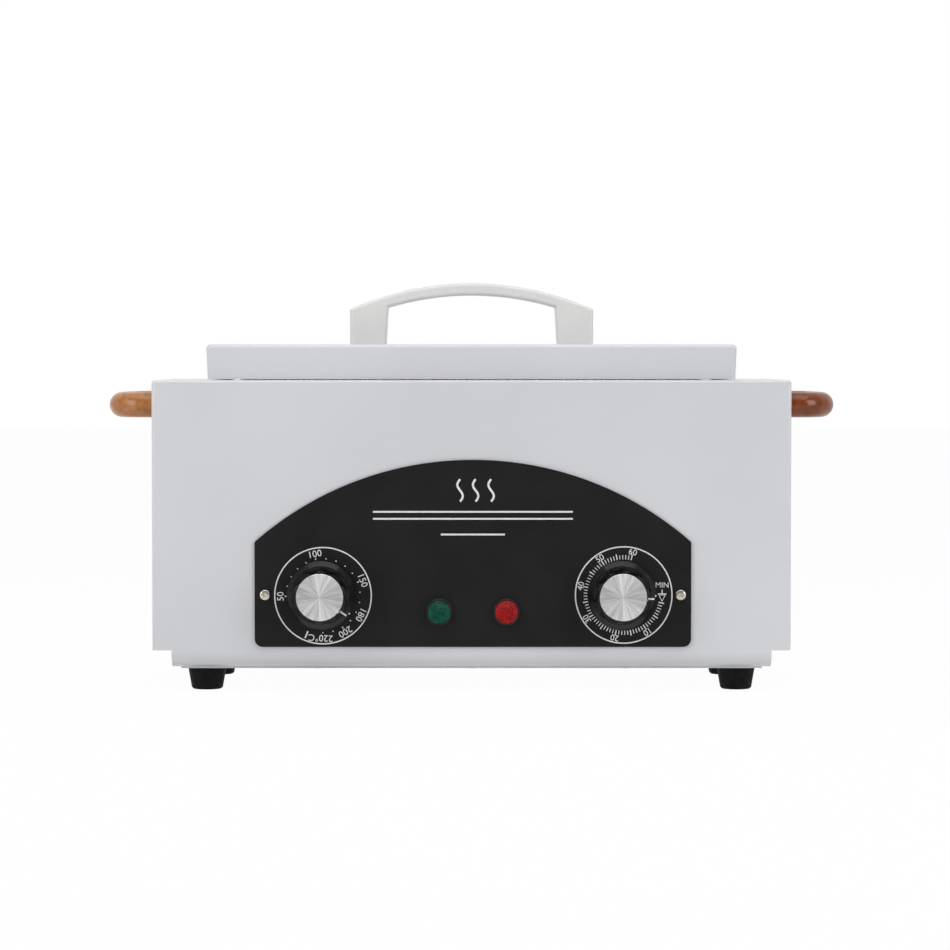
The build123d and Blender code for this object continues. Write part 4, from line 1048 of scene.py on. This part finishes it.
def cap_disc(name, centre_x, centre_z, body, node):
    """The spun disc, laid out by turn and radius so that its finish runs round it."""
    front_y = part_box(node)[0].y
    form = bmesh.new()
    layout = form.loops.layers.uv.new("round_and_out")
    rings = [(cap_hub, 0)] + [(cap_radius * step / cap_rings, 0) for step in range(1, cap_rings)]
    rings += [(cap_radius - cap_bevel, 0), (cap_radius, cap_bevel), (cap_radius, cap_thickness)]
    rows = []
    for radius, depth in rings:
        row = []
        for step in range(cap_sides):
            angle = math.tau * step / cap_sides
            x, z = centre_x + radius * math.cos(angle), centre_z + radius * math.sin(angle)
            row.append(form.verts.new((x, front_y + depth, z)))
        rows.append(row)
    hub = form.faces.new(rows[0])
    for loop in hub.loops:
        loop[layout].uv = (0, 0)
    for ring, (inner, outer) in enumerate(zip(rows, rows[1:])):
        low, high = rings[ring][0] / cap_radius, rings[ring + 1][0] / cap_radius
        for step in range(cap_sides):
            after = (step + 1) % cap_sides
            face = form.faces.new((inner[step], outer[step], outer[after], inner[after]))
            places = ((step, low), (step, high), (step + 1, high), (step + 1, low))
            for loop, (turned_by, out) in zip(face.loops, places):
                loop[layout].uv = (turned_by / cap_sides, out)
    form.faces.new(rows[-1])
    bmesh.ops.recalc_face_normals(form, faces=form.faces)
    piece = as_piece(form, name)
    fit(piece, spun_metal, body, "spun_metal", node)


knob_black, tree, shader = new_finish("knob_black", Specular_IOR_Level=0.20)
tint(tree, shader, cloud(tree, scale=200.0, detail=3.0), knob_black_dark, knob_black_light)
dull(tree, shader, cloud(tree, scale=500.0), smoothest=0.10, roughest=0.16)
raise_surface(tree, shader, cloud(tree, scale=1400.0), height=0.00001, strength=0.4)

spun_metal, tree, shader = new_finish("spun_aluminium", Metallic=1.0, Anisotropic=0.85)
layout = tree.nodes.new("ShaderNodeUVMap")
layout.uv_map = "round_and_out"
fine_rings = tree.nodes.new("ShaderNodeMapping")
fine_rings.inputs["Scale"].default_value = ring_grain
spokes = tree.nodes.new("ShaderNodeMapping")
spokes.inputs["Scale"].default_value = spoke_grain_and_sheen
spoke_grain_and_sheen_noise = tree.nodes.new("ShaderNodeTexNoise")
spoke_grain_and_sheen_noise.inputs["Detail"].default_value = 4.0
ring_noise = tree.nodes.new("ShaderNodeTexNoise")
ring_noise.inputs["Detail"].default_value = 3.0
for noise in (spoke_grain_and_sheen_noise, ring_noise):
    noise.inputs["Scale"].default_value = 1.0
direction = tree.nodes.new("ShaderNodeTangent")
direction.direction_type = "UV_MAP"
direction.uv_map = "round_and_out"
wire(
    tree,
    (layout, "UV", fine_rings, "Vector"),
    (fine_rings, "Vector", ring_noise, "Vector"),
    (layout, "UV", spokes, "Vector"),
    (spokes, "Vector", spoke_grain_and_sheen_noise, "Vector"),
    (direction, "Tangent", shader, "Tangent"),
)
# The spoke noise paints bright and dark radial streaks into the disc's colour, a painted reflection of
# the soft boxes as spun metal shows them; it also varies the roughness.
tint(tree, shader, spoke_grain_and_sheen_noise.outputs["Fac"], spun_painted_dark_spoke, spun_painted_bright_spoke)
dull(tree, shader, spoke_grain_and_sheen_noise.outputs["Fac"], smoothest=0.20, roughest=0.30)
raise_surface(tree, shader, ring_noise.outputs["Fac"], height=0.00001, strength=0.4)

for name, (x, z) in knob_spots.items():
    body = name + "_control"
    lay = knob_mesh(name + "_dial_knob", x, z, line_angles[name], body, name + "_knob")
    pointer_line(name + "_knob_line", lay, body)
    cap_disc(name + "_knob_disc", x, z, body, name + "_knob_cap")

# The side handles are bows of round beech rod, sanded and varnished, their ends against the walls.
# The left one is pale and the right one is stained red. Screws hold them from inside.
wood_tones = {
    "left": ((0.32, 0.118, 0.030), (0.46, 0.19, 0.060)),
    "right": ((0.14, 0.027, 0.003), (0.22, 0.050, 0.008)),
}

for side, (dark, light) in wood_tones.items():
    wood, tree, shader = new_finish(
        side + "_beech", Specular_IOR_Level=0.15, Coat_Weight=0.5, Coat_Roughness=0.12)
    rings = cloud(tree, scale=260.0, stretch=(1.0, 0.08, 1.0), detail=6.0)
    pores = cloud(tree, scale=1500.0, stretch=(1.0, 0.04, 1.0), detail=3.0)
    tint(tree, shader, rings, dark, light)
    dull(tree, shader, pores, smoothest=0.34, roughest=0.50)
    raise_surface(tree, shader, pores, height=0.00004, strength=0.5)
    slot = "wood_light" if side == "left" else "wood_red"
    skin(side + "_handle", side + "_wooden_bow", wood, "housing", slot)
skin("side_handle_screws", "screws_of_bows", zinc, "housing", "zinc")

# The lid is a folded and painted tray of sheet steel, turned down over the tank's rim. A pressed
# stainless liner and a fibre pad fill it, and a white moulded arch is screwed on top.
arch_shadow = (0.66, 0.655, 0.645)
arch_light = (0.70, 0.695, 0.685)

skin("lid_shell", "white_lid", white_paint, "lid", "white_paint")
skin("lid_liner", "steel_liner", stainless, "lid", "stainless")
skin("lid_insulation", "lid_pad", fibre, "lid", "fibre")

arch_white, tree, shader = new_finish("arch_white", Specular_IOR_Level=0.5)
tint(tree, shader, cloud(tree, scale=30.0, detail=3.0), arch_shadow, arch_light)
dull(tree, shader, cloud(tree, scale=300.0), smoothest=0.28, roughest=0.38)
raise_surface(tree, shader, cloud(tree, scale=1600.0, detail=2.0), height=0.00001, strength=0.4)
skin("lid_handle", "white_arch", arch_white, "lid", "handle_white")
set_screws("lid_handle_screws", "screws_of_arch", (0, 0, -1), m4, 6, body="lid")

# The tray is pressed from perforated stainless sheet and stands on the tank's floor. A loop of
# bright wire is welded inside each end.
skin("tray", "slotted_tray", stainless, "housing", "stainless")
skin("tray_handles", "tray_wire_loops", stainless, "housing", "stainless")
